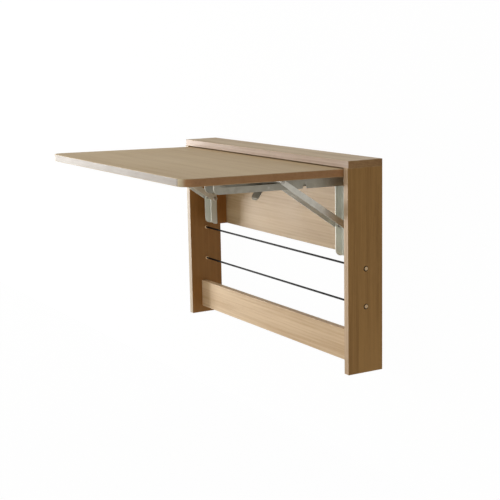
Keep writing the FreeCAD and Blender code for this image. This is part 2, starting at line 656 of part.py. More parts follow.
def bends_up(before, point, after):
    """True if a path towards -Y turns towards +Z at its middle point."""
    first = (point[0] - before[0], point[1] - before[1])
    second = (after[0] - point[0], after[1] - point[1])
    return first[0] * second[1] - first[1] * second[0] < 0


def lever_outline(half, tip):
    """What the lever fills seen from the front, with the finger tab's corners rounded."""
    front = -LEVER_PIVOT - LEVER_TONGUE - LEVER_TAB - LEVER_STEEL
    outline = box(-half, half, front, -LEVER_PIVOT + LEVER_NOSE + LEVER_STEEL, tip, LEAF_LIFT)
    corners = [e for e in outline.Edges if runs_along(e, Vector(0, 1, 0)) and e.CenterOfMass.z < 0]
    return outline.makeFillet(LEVER_CORNER, corners)


def lever():
    """Release lever of the right bracket in the leaf's frame: nose, ears and finger tab."""
    half = LEVER_WIDTH / 2.0
    plate = -LEVER_DROP + LEVER_PIN_DIA / 2.0 + LEVER_PLATE_GAP + LEVER_STEEL / 2.0
    path = [(-LEVER_PIVOT + LEVER_NOSE, plate + LEVER_NOSE_LIFT),
            (-LEVER_PIVOT + LEVER_EAR + LEVER_FLAT, plate),
            (-LEVER_PIVOT - LEVER_EAR, plate),
            (-LEVER_PIVOT - LEVER_TONGUE, plate - LEVER_TONGUE_DROP),
            (-LEVER_PIVOT - LEVER_TONGUE - LEVER_TAB,
             plate - LEVER_TONGUE_DROP - LEVER_TAB_DROP)]
    strip = bent_strip(path, LEVER_STEEL, -half, half, LEVER_BEND)
    strip = strip.common(lever_outline(half, plate - LEVER_TONGUE_DROP - LEVER_TAB_DROP))
    for way in (1.0, -1.0):
        x_low, x_high = sorted((way * half, way * (half - LEVER_STEEL)))
        disc = rod_x(LEVER_EAR, x_low, x_high, -LEVER_PIVOT, -LEVER_DROP)
        cheek = box(x_low, x_high, -LEVER_PIVOT - LEVER_EAR, -LEVER_PIVOT + LEVER_EAR,
                    -LEVER_DROP, plate)
        strip = strip.fuse(disc).fuse(cheek)
    hole = rod_x(LEVER_PIN_DIA / 2.0 + PIN_FIT, -half, half, -LEVER_PIVOT, -LEVER_DROP)
    return moved_x(strip.removeSplitter().cut(hole), BRACKET_X)


def lever_pins():
    """Pins of both levers, peened flush with the arms' flanges."""
    pin = rod_x(LEVER_PIN_DIA / 2.0, -ARM_HALF, ARM_HALF, -LEVER_PIVOT, -LEVER_DROP)
    pin = moved_x(pin, BRACKET_X)
    return on_leaf(compound([pin, mirrored(pin)]))


def spring_place():
    """Middle of the spring between lever and outer flange, and its coil radius."""
    coil = LEVER_PIN_DIA / 2.0 + SPRING_BORE_GAP + SPRING_WIRE / 2.0
    return (LEVER_WIDTH / 2.0 + ARM_INNER) / 2.0, coil


def spring_hook_hole():
    """Hole for the spring's rear end in the arm's outer flange."""
    radius = SPRING_WIRE / 2.0 + SPRING_HOOK_GAP
    height = spring_place()[1] - LEVER_DROP
    return rod_x(radius, ARM_INNER, ARM_HALF, -LEVER_PIVOT + SPRING_REAR_LEG, height)


def lever_spring():
    """Torsion spring on the lever's pin, its close coil one sleeve: front end over the tongue,
    rear end in the outer flange."""
    middle, coil = spring_place()
    wire = SPRING_WIRE / 2.0
    outer = middle + SPRING_WIDTH / 2.0
    inner = middle - SPRING_WIDTH / 2.0
    sleeve = rod_x(coil + wire, inner, outer, 0, 0).cut(rod_x(coil - wire, inner, outer, 0, 0))
    over_tongue = LEVER_WIDTH / 2.0 - 2.0 * LEVER_STEEL
    ends = [rod_y(wire, outer - wire, -SPRING_FRONT_LEG, 0, coil),
            rod_x(wire, over_tongue, outer, -SPRING_FRONT_LEG, coil),
            rod_y(wire, inner + wire, 0, SPRING_REAR_LEG, coil),
            rod_x(wire, inner, ARM_HALF, SPRING_REAR_LEG, coil)]
    spring = sleeve.multiFuse(ends)
    spring.translate(Vector(BRACKET_X, -LEVER_PIVOT, -LEVER_DROP))
    return spring


# --- leaf -----------------------------------------------------------------------------------
def leaf_board():
    board = box(-LEAF_HALF, LEAF_HALF, -LEAF_REACH, LEAF_REAR, LEAF_LIFT, LEAF_LIFT + LEAF_THICK)
    corners = [e for e in board.Edges if runs_along(e, Vector(0, 0, 1)) and e.CenterOfMass.y < 0]
    board = board.makeFillet(LEAF_CORNER, corners)
    rims = [e for e in board.Edges if not runs_along(e, Vector(0, 0, 1))]
    board = board.makeChamfer(LEAF_EASE, rims)
    for _, side in SIDES:
        board = board.cut(arm_screw_holes(PILOT_GAP, side))
    return on_leaf(board)


# --- all nodes ------------------------------------------------------------------------------
def build():
    """Every node's shape by name, with the leaf open and locked."""
    nodes = {
        "top_cap": top_cap(),
        "back_panel": back_panel(),
        "lower_rail": lower_rail(),
        "rod_lower": rod(ROD_LOWER_Z),
        "rod_upper": rod(ROD_UPPER_Z),
        "rod_nuts": rod_nuts(),
        "rod_collars": rod_collars(),
        "cap_dowels": dowels(cap_dowel_spots()),
        "back_dowels": dowels(back_dowel_spots()),
        "rail_dowels": dowels(rail_dowel_spots()),
        "panel_screws": panel_screws(),
        "leg_screws": leg_screws(),
        "fold_pins": fold_pins(),
        "link_pins": link_pins(),
        "leaf_board": leaf_board(),
        "arm_screws": arm_screws(),
        "lever_pins": lever_pins(),
    }
    pairs = {
        "side_panel": side_panel(),
        "bracket_block": bracket_block(),
        "leg": leg(),
        "arm": on_leaf(arm()),
        "inner_link": moved_x(on_link(flat_link(-LINK_OUTER)), BRACKET_X),
        "outer_link": moved_x(on_link(flat_link(LINK_INNER)), BRACKET_X),
        "link_rivets": moved_x(on_link(link_rivets()), BRACKET_X),
        "slide_pin": on_leaf(slide_pin()),
        "release_lever": on_leaf(lever()),
        "lever_spring": on_leaf(lever_spring()),
    }
    for name, shape in pairs.items():
        nodes[name + "_right"] = shape
        nodes[name + "_left"] = mirrored(shape)
    return nodes


os.makedirs("parts", exist_ok=True)
for node_name, node_shape in build().items():
    node_shape.exportStep("parts/" + node_name + ".step")
print("link length", round(LINK_LENGTH, 3), "slope", round(LINK_SLOPE, 3))
print("slot end", round(SLOT_END, 3), "notch", round(NOTCH_FORWARD, 3), round(NOTCH_UP, 3))
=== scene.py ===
"""Looks of a wall mounted drop leaf table: board grain, plated steel, fittings, studio and camera.

Every length is in metres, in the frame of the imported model: +X right, +Y into the wall, +Z up,
with the origin in the middle of the wall screws on the wall face.
"""
import logging
import math
from dataclasses import dataclass, replace
from enum import Enum
from typing import Any, Dict, Mapping, Optional, Sequence, Tuple, Union

import bmesh
import bpy
from bmesh.types import BMesh, BMVert
from bpy.types import Material, Mesh, NodeSocket, NodeTree, Object
from mathutils import Euler, Matrix, Vector


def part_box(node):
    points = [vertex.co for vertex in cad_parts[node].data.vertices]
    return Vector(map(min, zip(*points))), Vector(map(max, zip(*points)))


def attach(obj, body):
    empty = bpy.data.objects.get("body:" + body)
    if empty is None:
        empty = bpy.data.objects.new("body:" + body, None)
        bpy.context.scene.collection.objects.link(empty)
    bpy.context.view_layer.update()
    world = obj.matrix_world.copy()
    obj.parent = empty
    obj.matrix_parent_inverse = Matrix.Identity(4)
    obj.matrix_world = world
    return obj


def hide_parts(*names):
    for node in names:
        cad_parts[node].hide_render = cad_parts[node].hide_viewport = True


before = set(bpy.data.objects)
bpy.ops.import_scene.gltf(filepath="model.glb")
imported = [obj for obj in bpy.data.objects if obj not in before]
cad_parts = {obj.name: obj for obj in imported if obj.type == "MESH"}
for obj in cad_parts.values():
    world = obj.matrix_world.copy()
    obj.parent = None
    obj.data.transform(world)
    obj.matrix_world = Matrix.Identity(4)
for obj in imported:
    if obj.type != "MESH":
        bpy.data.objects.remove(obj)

LOG = logging.getLogger("drop_leaf_table")
Colour = Tuple[float, float, float]
Point = Tuple[float, float, float]
Span = Tuple[float, float]
Relief = Tuple[float, float]
Floats = Tuple[float, ...]
Sockets = Mapping[Union[int, str], Any]
Looks = Dict[str, Any]
SIDES: Tuple[Tuple[str, float], ...] = (("left", -1.0), ("right", 1.0))
MM = 0.001
WHITE: Colour = (1.0, 1.0, 1.0)
OUTER_X = 0.4
ROD_Y = -0.0475
ROD_HEIGHTS: Floats = (-0.2856, -0.1951)
COUNTERBORE = 6.7 * MM
SMOOTH_UNDER = 0.6
TINY = 1e-6


def put(name: str, data: Any) -> Object:
    """Add an object to the scene.

    Args:
        name: its name.
        data: its mesh, lamp or camera.

    Returns:
        The object.
    """
    thing = bpy.data.objects.new(name, data)
    bpy.context.scene.collection.objects.link(thing)
    return thing


def srgb(*channels: float) -> Colour:
    """Turn a display colour into linear light.

    Args:
        *channels: red, green and blue, 0 to 255.

    Returns:
        The same colour in linear light, 0 to 1 per channel.
    """
    return tuple(v / 12.92 if v <= 0.04045 else ((v + 0.055) / 1.055) ** 2.4
                 for v in (channel / 255.0 for channel in channels))


# Near-black painted shade for the insides of the rods' counterbores and the nuts' sunk sides.
BORE_SHADE = srgb(22, 12, 4)


class Along(Enum):
    """The axis that a board's grain or a sheet's rolling marks run along."""

    X = 0
    Y = 1
    Z = 2

    def stretch(self, along: float, across: float) -> Point:
        """A scale with one value along the axis and another across it."""
        return tuple(along if i == self.value else across for i in range(3))


# ---- node trees

@dataclass(frozen=True)
class Signal:
    """A node's output, which takes part in Python arithmetic where it is a number."""

    net: "Net"
    socket: NodeSocket

    def also(self, key: Union[int, str]) -> "Signal":
        """Another output of the same node."""
        return Signal(self.net, self.socket.node.outputs[key])

    def _math(self, operation: str, first: "Number", second: "Number" = 0.0) -> "Signal":
        """Add one Math node."""
        return self.net.add("ShaderNodeMath", {0: first, 1: second}, operation=operation)

    def __add__(self, other: "Number") -> "Signal":
        """Sum."""
        return self._math("ADD", self, other)

    def __radd__(self, other: "Number") -> "Signal":
        """Sum with a number on the left."""
        return self._math("ADD", other, self)

    def __sub__(self, other: "Number") -> "Signal":
        """Difference."""
        return self._math("SUBTRACT", self, other)

    def __rsub__(self, other: "Number") -> "Signal":
        """Difference with a number on the left."""
        return self._math("SUBTRACT", other, self)

    def __mul__(self, other: "Number") -> "Signal":
        """Product."""
        return self._math("MULTIPLY", self, other)

    def __rmul__(self, other: "Number") -> "Signal":
        """Product with a number on the left."""
        return self._math("MULTIPLY", other, self)

    def lower(self, other: "Number") -> "Signal":
        """The lower of two numbers."""
        return self._math("MINIMUM", self, other)

    def higher(self, other: "Number") -> "Signal":
        """The higher of two numbers."""
        return self._math("MAXIMUM", self, other)

    def size(self) -> "Signal":
        """The number without its sign."""
        return self._math("ABSOLUTE", self)

    def span(self, low: float, high: float, start: float = 0.0, end: float = 1.0) -> "Signal":
        """Map low to start and high to end smoothly, held at both ends."""
        return self.net.add("ShaderNodeMapRange", {0: self, 1: low, 2: high, 3: start, 4: end},
                            interpolation_type="SMOOTHSTEP")


Number = Union[float, Signal]


def blend(shares: Floats, *patterns: Signal, start: float = 0.0) -> Signal:
    """A starting value plus each pattern times its share."""
    return sum((pattern * share for pattern, share in zip(patterns, shares)), start)


class Net:
    """A node tree under construction."""

    def __init__(self, tree: NodeTree) -> None:
        """Take a node tree and clear it."""
        self.tree = tree
        tree.nodes.clear()

    def add(self, kind: str, sockets: Sockets, result: Union[int, str] = 0,
            **settings: Any) -> Signal:
        """Add a node.

        Args:
            kind: the node's type.
            sockets: a value or a signal for each input that is set.
            result: the output to return.
            **settings: the node's properties.

        Returns:
            The chosen output.
        """
        node = self.tree.nodes.new(kind)
        for key, value in settings.items():
            setattr(node, key, value)
        for key, value in sockets.items():
            self.feed(node.inputs[key], value)
        return Signal(self, node.outputs[result])

    def feed(self, socket: NodeSocket, value: Any) -> None:
        """Link a signal to an input, or set the input's own value.

        Args:
            socket: the input.
            value: a signal, a number, a colour or a vector.
        """
        if isinstance(value, Signal):
            self.tree.links.new(value.socket, socket)
        elif socket.type == "RGBA" and len(value) == 3:
            socket.default_value = (*value, 1.0)
        else:
            socket.default_value = value


class Graph(Net):
    """One material's node tree for a piece with a box, with a principled shader at its end."""

    def __init__(self, name: str, box: Sequence[Vector] = ()) -> None:
        """Make the material with its shader and its output.

        Args:
            name: the material's name.
            box: the lowest and the highest corner of the piece.
        """
        self.box = box
        self.material = bpy.data.materials.new(name)
        self.material.use_nodes = True
        super().__init__(self.material.node_tree)
        self.shader = self.add("ShaderNodeBsdfPrincipled", {})
        self.surface = self.tree.nodes.new("ShaderNodeOutputMaterial").inputs[0]
        self.feed(self.surface, self.shader)
        self.place = self.add("ShaderNodeTexCoord", {}, "Object")

    def scaled(self, scale: Point, offset: Point = (0.0, 0.0, 0.0)) -> Signal:
        """Object coordinates in repeats per metre along each axis, shifted after scaling."""
        return self.add("ShaderNodeMapping",
                        {"Vector": self.place, "Scale": scale, "Location": offset})

    def mix(self, share: Number, low: Any, high: Any, blend: str = "MIX") -> Signal:
        """Mix two colours; a share of 1 gives the second."""
        return self.add("ShaderNodeMix", {0: share, 6: low, 7: high}, 2,
                        data_type="RGBA", blend_type=blend, clamp_factor=True)

    def axes(self, vector: Optional[Signal] = None) -> Tuple[Signal, Signal, Signal]:
        """The three numbers of a vector, or else of the object coordinates."""
        first = self.add("ShaderNodeSeparateXYZ", {0: vector or self.place})
        return first, first.also(1), first.also(2)

    def facing(self) -> Tuple[Signal, Signal, Signal]:
        """The surface's direction on the piece itself as three numbers, whatever its pose."""
        return self.axes(self.add("ShaderNodeTexCoord", {}, "Normal"))

    def shift(self, gain: Point) -> Point:
        """A shift by the piece's middle, so that each piece has its own part of a pattern."""
        return tuple((a + b) / 2.0 * g for a, b, g in zip(*self.box, gain))

    def arris(self, reach: float) -> Signal:
        """How near the surface is to an edge of the piece's box.

        Args:
            reach: distance at which nothing is left of it.

        Returns:
            1 on an edge, 0 further in.
        """
        low, high = self.box
        gaps = [(axis - low[i]).lower(high[i] - axis) for i, axis in enumerate(self.axes())]
        lesser, greater = gaps[0].lower(gaps[1]), gaps[0].higher(gaps[1])
        return lesser.higher(greater.lower(gaps[2])).span(0.0, reach, 1.0, 0.0)

    def bump(self, height: Signal, distance: float, strength: float,
             under: Optional[Signal] = None) -> Signal:
        """Raise a pattern from 0 to 1 by a height in metres, over another bump if there is one."""
        over = {"Normal": under} if under else {}
        return self.add("ShaderNodeBump",
                        {"Height": height, "Distance": distance, "Strength": strength, **over})

    def finish(self, looks: Looks) -> Material:
        """Feed the shader's inputs, and give the finished material."""
        for key, value in looks.items():
            self.feed(self.shader.socket.node.inputs[key], value)
        return self.material


# ---- finishes

@dataclass(frozen=True)
class Layer:
    """One layer of noise: repeats per metre along and across the grain, and its fineness."""

    along: float
    across: float
    detail: float = 3.0
    rough: float = 0.55
    swirl: float = 0.0

    def on(self, g: Graph, axis: Along = Along.X, shift: Point = (0.0, 0.0, 0.0)) -> Signal:
        """The layer's pattern, from 0 to 1, with its grain along an axis.

        Args:
            g: the graph.
            axis: the grain's axis.
            shift: moves the pattern, in repeats.

        Returns:
            The pattern.
        """
        place = g.scaled(axis.stretch(self.along, self.across), shift)
        return g.add("ShaderNodeTexNoise",
                     {"Vector": place, "Scale": 1.0, "Detail": self.detail,
                      "Roughness": self.rough, "Distortion": self.swirl}, "Fac")


class Finish:
    """A finish that is made anew for each piece."""

    def looks(self, g: Graph) -> Looks:
        """The shader's values, which each kind of finish works out its own way."""
        raise NotImplementedError

    def on(self, node: str, name: str) -> Material:
        """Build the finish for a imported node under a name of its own."""
        g = Graph(name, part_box(node))
        return g.finish(self.looks(g))


@dataclass(frozen=True)
class FacingLightTones:
    """Painted shade and highlight: colours for the faces that turn front, right, left and up, set
    apart from the broad face.

    A face's span is the share of its normal along the axis at which its tone sets in.
    """

    front: Optional[Colour] = None
    right: Optional[Colour] = None
    left: Optional[Colour] = None
    top: Optional[Colour] = None
    share: float = 0.88
    depth: float = 0.76
    warmth: float = 0.05
    front_span: Span = (0.97, 0.998)
    side_span: Span = (0.46, 0.82)
    top_span: Span = (0.6, 0.8)

    def paint(self, g: Graph, colour: Signal, grain: Signal) -> Signal:
        """Paint shade and highlight into the faces that turn in a direction with a tone of its own.

        Args:
            g: the graph.
            colour: the broad face's colour.
            grain: 0 for deep to 1 for pale.

        Returns:
            The colour with the painted shade and highlight of those faces in.
        """
        x, y, z = g.facing()
        # Painted light: each toned direction gets its own colour for the shade and highlight there.
        shaded_facings = ((self.front, (0.0 - y).span(*self.front_span)),
                 (self.right, x.span(*self.side_span)),
                 (self.left, (0.0 - x).span(*self.side_span)),
                 (self.top, z.size().span(*self.top_span)))
        for tone, mask in shaded_facings:
            if tone is not None:
                dark = tuple(c * (self.depth - self.warmth * i) for i, c in enumerate(tone))
                colour = g.mix(mask * self.share, colour, g.mix(grain, dark, tone))
        return colour


@dataclass(frozen=True)
class BoardFinish(Finish):
    """Clear-lacquered oak veneer on board; its faces get painted shade and highlight by how they
    turn.
    """

    pale: Colour = srgb(214, 188, 152)
    deep: Colour = srgb(184, 152, 112)
    pore: Colour = srgb(140, 106, 70)
    band: Colour = srgb(226, 206, 178)
    along: Along = Along.X
    seed: float = 0.0
    sheen_rough: float = 0.5
    figure: float = 0.16
    pore_share: float = 0.4
    wear: float = 0.3
    gloss: float = 0.2
    coat: float = 0.03
    # Painted shade and highlight for the faces that turn front, right, left and up.
    faces: FacingLightTones = FacingLightTones()
    shaded_bores: bool = False
    drift: Layer = Layer(1.1, 7.0, 2.0)
    tone: Layer = Layer(2.2, 34.0, 4.0, 0.6, 0.35)
    fibre: Layer = Layer(9.0, 620.0, 4.0, 0.62)
    streak: Layer = Layer(3.0, 150.0, 3.0, 0.5)
    pores: Layer = Layer(42.0, 1500.0, 2.0, 0.5)
    rub: Layer = Layer(60.0, 60.0)
    smudge: Layer = Layer(9.0, 9.0, 4.0, 0.6)
    rings: Span = (0.8, 30.0)
    ring_look: Tuple[Tuple[str, float], ...] = (
        ("Scale", 1.3), ("Distortion", 7.0), ("Detail", 3.0), ("Detail Scale", 0.8))
    pore_span: Span = (0.62, 0.74)
    grain_span: Span = (0.34, 0.72)
    rub_span: Span = (0.35, 0.75)
    grain_shares: Floats = (0.5, 0.3, 0.3, 0.5)
    pale_fill: float = 0.5
    rough_gains: Floats = (0.16, 0.12, -0.06, 0.08)
    raised_shares: Floats = (0.7, 0.3)
    seed_gains: Point = (3.7, 1.9, 5.3)
    ring_step: float = 0.45
    bore_end: Span = (10.0 * MM, 14.0 * MM)
    bore_mouth: Span = (0.1 * MM, 0.5 * MM)
    bore_wall: Span = (COUNTERBORE ** 2, (COUNTERBORE + 0.2 * MM) ** 2)
    edge_reach: float = 2.2 * MM
    coat_rough: float = 0.35
    pore_relief: Relief = (-0.06 * MM, 0.6)
    fibre_relief: Relief = (0.05 * MM, 0.5)

    def _shift(self, step: float) -> Point:
        """A shift that gives each board and each layer its own piece of the pattern."""
        x, y, z = (self.seed * gain for gain in self.seed_gains)
        return x + step, y - step, z + 2.0 * step

    def looks(self, g: Graph) -> Looks:
        """Grain, pores, face tones and rubbed edges of one board.

        Args:
            g: the piece's graph.

        Returns:
            Values by the names of the shader's inputs.
        """
        layers = (self.drift, self.tone, self.fibre, self.streak, self.pores, self.rub, self.smudge)
        drift, tone, fibre, streak, pores, rub, smudge = (
            layer.on(g, self.along, self._shift(float(i))) for i, layer in enumerate(layers))
        place = g.scaled(self.along.stretch(*self.rings), self._shift(self.ring_step))
        rings = g.add("ShaderNodeTexWave", {"Vector": place, **dict(self.ring_look)}, "Fac",
                      wave_type="RINGS", rings_direction=self.along.name)
        pore = pores.span(*self.pore_span)
        figure = rings * self.figure + tone * (1.0 - self.figure)
        grain = blend(self.grain_shares, figure, streak, fibre, drift - 0.5)
        grain = grain.span(*self.grain_span)
        # Painted shade and highlight by the way each face turns.
        colour = self.faces.paint(g, g.mix(grain, self.deep, self.pale), grain)
        # Painted shade inside the rods' counterbores.
        if self.shaded_bores:
            colour = self._paint_bore_shade(g, colour)
        pore_share = pore * self.pore_share * (1.0 - grain * self.pale_fill)
        colour = g.mix(pore_share, colour, self.pore, "MULTIPLY")
        edge = g.arris(self.edge_reach)
        colour = g.mix(edge * rub.span(*self.rub_span) * self.wear, colour, self.band)
        rough = blend(self.rough_gains, smudge - 0.5, pore, edge, fibre - 0.5,
                      start=self.sheen_rough)
        raised = blend(self.raised_shares, fibre, streak)
        normal = g.bump(raised, *self.fibre_relief, g.bump(pore, *self.pore_relief))
        return {"Base Color": colour, "Roughness": rough, "Normal": normal,
                "Specular IOR Level": self.gloss, "Coat Weight": self.coat,
                "Coat Roughness": self.coat_rough}

    def _paint_bore_shade(self, g: Graph, colour: Signal) -> Signal:
        """Paint near-black shade on the board inside the rods' counterbores.

        Args:
            g: the graph.
            colour: the lacquered board's colour.

        Returns:
            The colour with the painted bore shade in.
        """
        x, y, z = g.axes()
        off = y - ROD_Y
        inset = OUTER_X - x.size()
        deep = inset.span(*self.bore_end, 1.0, 0.0) * inset.span(*self.bore_mouth)
        for height in ROD_HEIGHTS:
            rise = z - height
            near = (off * off + rise * rise).span(*self.bore_wall, 1.0, 0.0)
            colour = g.mix(near * deep, colour, BORE_SHADE)
        return colour


@dataclass(frozen=True)
class PlateFinish(Finish):
    """Zinc-plated pressed steel: fine rolling marks, faint crystals and finger marks."""

    base: Colour = srgb(186, 182, 170)
    dull: Colour = srgb(156, 150, 138)
    along: Along = Along.Y
    rough: float = 0.5
    metal: float = 0.8
    crystal: float = 85.0
    wear: float = 0.25
    lines: Layer = Layer(30.0, 2400.0)
    cloud: Layer = Layer(26.0, 26.0, 5.0, 0.62)
    marks: Layer = Layer(130.0, 130.0)
    mark_span: Span = (0.58, 0.72)
    tone_span: Span = (0.3, 0.75)
    tone_shares: Floats = (0.62, 0.14, 0.24)
    rough_gains: Floats = (0.22, 0.08, 0.1)
    edge_reach: float = 1.2 * MM
    edge_gain: float = 1.3
    shift: Point = (2.0, 3.0, 2.5)
    line_relief: Relief = (0.02 * MM, 0.5)
    cloud_relief: Relief = (0.15 * MM, 0.25)

    def looks(self, g: Graph) -> Looks:
        """Rolling marks, crystals and bright edges of one piece.

        Args:
            g: the piece's graph.

        Returns:
            Values by the names of the shader's inputs.
        """
        shift = g.shift(self.shift)
        lines = self.lines.on(g, self.along, shift)
        cloud = self.cloud.on(g, shift=shift)
        marks = self.marks.on(g, shift=shift).span(*self.mark_span)
        cells = g.add("ShaderNodeTexVoronoi",
                      {"Vector": g.scaled((self.crystal,) * 3, shift), "Scale": 1.0}, "Color")
        cell = g.add("ShaderNodeSeparateColor", {0: cells})
        tone = blend(self.tone_shares, cloud, cell, lines).span(*self.tone_span)
        edge = g.arris(self.edge_reach)
        bright = tuple(min(1.0, c * self.edge_gain) for c in self.base)
        colour = g.mix(edge * self.wear, g.mix(tone, self.dull, self.base), bright)
        rough = blend(self.rough_gains, cloud - 0.5, marks, lines - 0.5, start=self.rough)
        normal = g.bump(cloud, *self.cloud_relief, g.bump(lines, *self.line_relief))
        return {"Base Color": colour, "Metallic": self.metal, "Roughness": rough,
                "Normal": normal}


@dataclass(frozen=True)
class EnamelFinish(Finish):
    """Baked enamel on steel: a slight orange peel, dust-fine specks and rubbed edges."""

    base: Colour = srgb(221, 223, 215)
    shade: Colour = srgb(207, 208, 199)
    bare: Colour = srgb(150, 146, 138)
    rough: float = 0.52
    wear: float = 0.3
    coat: float = 0.05
    metal: float = 0.4
    gloss: float = 0.4
    cloud: Layer = Layer(18.0, 18.0, 4.0, 0.6)
    peel: Layer = Layer(700.0, 700.0, 2.0)
    specks: Layer = Layer(1500.0, 1500.0, 1.0)
    chips: Layer = Layer(240.0, 240.0)
    cloud_span: Span = (0.3, 0.7)
    speck_span: Span = (0.7, 0.76)
    chip_span: Span = (0.55, 0.62)
    speck_share: float = 0.25
    rough_gains: Floats = (0.14, 0.1)
    edge_reach: float = 0.9 * MM
    shift: Point = (3.0, 2.0, 2.0)
    coat_rough: float = 0.2
    peel_relief: Relief = (0.03 * MM, 0.35)

    def looks(self, g: Graph) -> Looks:
        """Orange peel, specks and rubbed edges of one piece.

        Args:
            g: the piece's graph.

        Returns:
            Values by the names of the shader's inputs.
        """
        cloud, peel, specks, chips = (layer.on(g, shift=g.shift(self.shift)) for layer in (
            self.cloud, self.peel, self.specks, self.chips))
        specks = specks.span(*self.speck_span)
        rubbed = g.arris(self.edge_reach) * chips.span(*self.chip_span)
        colour = g.mix(cloud.span(*self.cloud_span), self.shade, self.base)
        colour = g.mix(specks * self.speck_share, colour, self.bare)
        colour = g.mix(rubbed * self.wear, colour, self.bare)
        rough = blend(self.rough_gains, cloud - 0.5, specks, start=self.rough)
        return {"Base Color": colour, "Metallic": self.metal, "Roughness": rough,
                "Normal": g.bump(peel, *self.peel_relief),
                "Specular IOR Level": self.gloss, "Coat Weight": self.coat,
                "Coat Roughness": self.coat_rough}


@dataclass(frozen=True)
class TurnedFinish(Finish):
    """Bright turned or drawn steel for pins, screws, nuts and wire."""

    base: Colour = srgb(170, 165, 156)
    grime: Colour = srgb(84, 78, 71)
    rough: float = 0.42
    metal: float = 0.9
    tool: Layer = Layer(1800.0, 900.0)
    cloud: Layer = Layer(180.0, 180.0, 4.0, 0.6)
    grime_span: Span = (0.6, 0.85)
    grime_share: float = 0.6
    rough_gains: Floats = (0.2, 0.2)
    tool_relief: Relief = (0.02 * MM, 0.4)
    # The part nearer the middle than skirt_x gets painted shade.
    skirt_x: Optional[float] = None
    skirt_fade: float = 0.4 * MM

    def looks(self, g: Graph) -> Looks:
        """Tool marks and grime; nearer the middle than skirt_x it gets the counterbore's near-black
        painted shade.

        Args:
            g: the piece's graph.

        Returns:
            Values by the names of the shader's inputs.
        """
        tool = self.tool.on(g)
        low, high = g.box
        cloud = self.cloud.on(g, shift=(low.x, low.y, high.z))
        colour = g.mix(cloud.span(*self.grime_span) * self.grime_share, self.base, self.grime)
        # Painted shade on the part sunk in the counterbore.
        if self.skirt_x is not None:
            distance = g.axes()[0].size()
            skirt = distance.span(self.skirt_x - self.skirt_fade, self.skirt_x, 1.0, 0.0)
            colour = g.mix(skirt, colour, BORE_SHADE)
        rough = blend(self.rough_gains, tool - 0.5, cloud - 0.5, start=self.rough)
        return {"Base Color": colour, "Metallic": self.metal, "Roughness": rough,
                "Normal": g.bump(tool, *self.tool_relief)}


@dataclass(frozen=True)
class WallFinish:
    """Matt white paint that shows as white with a trace of shadow, and is clear from behind."""

    tone: Colour = (0.82, 0.82, 0.82)
    shade: float = 0.98
    rough: float = 0.9
    glow: float = 0.982
    grain: Layer = Layer(3.0, 3.0, 4.0)

    def make(self, name: str) -> Material:
        """Build the finish, with plain white over it for the rays that look at it.

        Args:
            name: the material's name.

        Returns:
            The material.
        """
        g = Graph(name)
        darker = tuple(c * self.shade for c in self.tone)
        g.finish({"Base Color": g.mix(self.grain.on(g), darker, self.tone),
                  "Roughness": self.rough})
        rays = g.add("ShaderNodeLightPath", {}, "Is Camera Ray")
        seen = rays.higher(rays.also("Is Glossy Ray")).higher(rays.also("Is Transmission Ray"))
        white = g.add("ShaderNodeEmission", {"Color": WHITE, "Strength": 1.0})
        body = g.add("ShaderNodeMixShader", {0: seen * self.glow, 1: g.shader, 2: white})
        back = g.add("ShaderNodeNewGeometry", {}, "Backfacing")
        clear = g.add("ShaderNodeBsdfTransparent", {})
        g.feed(g.surface, g.add("ShaderNodeMixShader", {0: back, 1: body, 2: clear}))
        return g.material


# ---- geometry trees

class Tree(Net):
    """A geometry node tree with named inputs, which ends in real faces of one finish."""

    def __init__(self, name: str) -> None:
        """Make the tree with its geometry output.

        Args:
            name: the tree's name.
        """
        super().__init__(bpy.data.node_groups.new(name, "GeometryNodeTree"))
        self.tree.interface.new_socket("Geometry", in_out="OUTPUT",
                                       socket_type="NodeSocketGeometry")
        self.inputs = self.tree.nodes.new("NodeGroupInput")
        self.output = self.tree.nodes.new("NodeGroupOutput")

    def input(self, name: str, kind: str) -> Signal:
        """Add a named input of kind "Float", "Int", "Object", "Geometry" or "Material"."""
        self.tree.interface.new_socket(name, in_out="INPUT", socket_type="NodeSocket" + kind)
        return Signal(self, self.inputs.outputs[name])

    def close(self, geometry: Signal) -> None:
        """Realise the instances, give them the material input and end the tree.

        Args:
            geometry: the geometry to finish.
        """
        real = self.add("GeometryNodeRealizeInstances", {0: geometry})
        finish = self.input("Finish", "Material")
        dressed = self.add("GeometryNodeSetMaterial", {"Geometry": real, "Material": finish})
        self.feed(self.output.inputs[0], dressed)

    def grow(self, name: str, seed_mesh: Mesh, values: Mapping[str, Any]) -> Object:
        """Run the tree once and keep its result as a plain mesh.

        Args:
            name: the new piece's name.
            seed_mesh: the points that the tree works on.
            values: a value for each named input.

        Returns:
            The piece, at the origin.
        """
        carrier = put(name + "_carrier", seed_mesh)
        modifier = carrier.modifiers.new("grow", "NODES")
        modifier.node_group = self.tree
        for item in self.tree.interface.items_tree:
            if item.in_out == "INPUT" and item.name in values:
                modifier[item.identifier] = values[item.name]
        graph = bpy.context.evaluated_depsgraph_get()
        mesh = bpy.data.meshes.new_from_object(carrier.evaluated_get(graph), depsgraph=graph)
        bpy.data.objects.remove(carrier)
        mesh.name = name
        return put(name, mesh)


@dataclass(frozen=True)
class Spot:
    """A place on the table and the direction that a fitting's head looks in."""

    at: Point
    out: Point

    def turn(self, spin: float) -> Euler:
        """The turn that takes +Z to the head's direction, after a spin about +Z in radians."""
        stand = Vector(self.out).to_track_quat("Z", "Y").to_matrix().to_4x4()
        return (stand @ Matrix.Rotation(spin, 4, "Z")).to_euler()


def settle(piece: Object, body: str, node: str) -> None:
    """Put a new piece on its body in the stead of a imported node.

    Args:
        piece: the piece.
        body: the body it rides on.
        node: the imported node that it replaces.
    """
    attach(piece, body)
    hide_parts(node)
    LOG.info("%s: %d faces on %s", piece.name, len(piece.data.polygons), body)


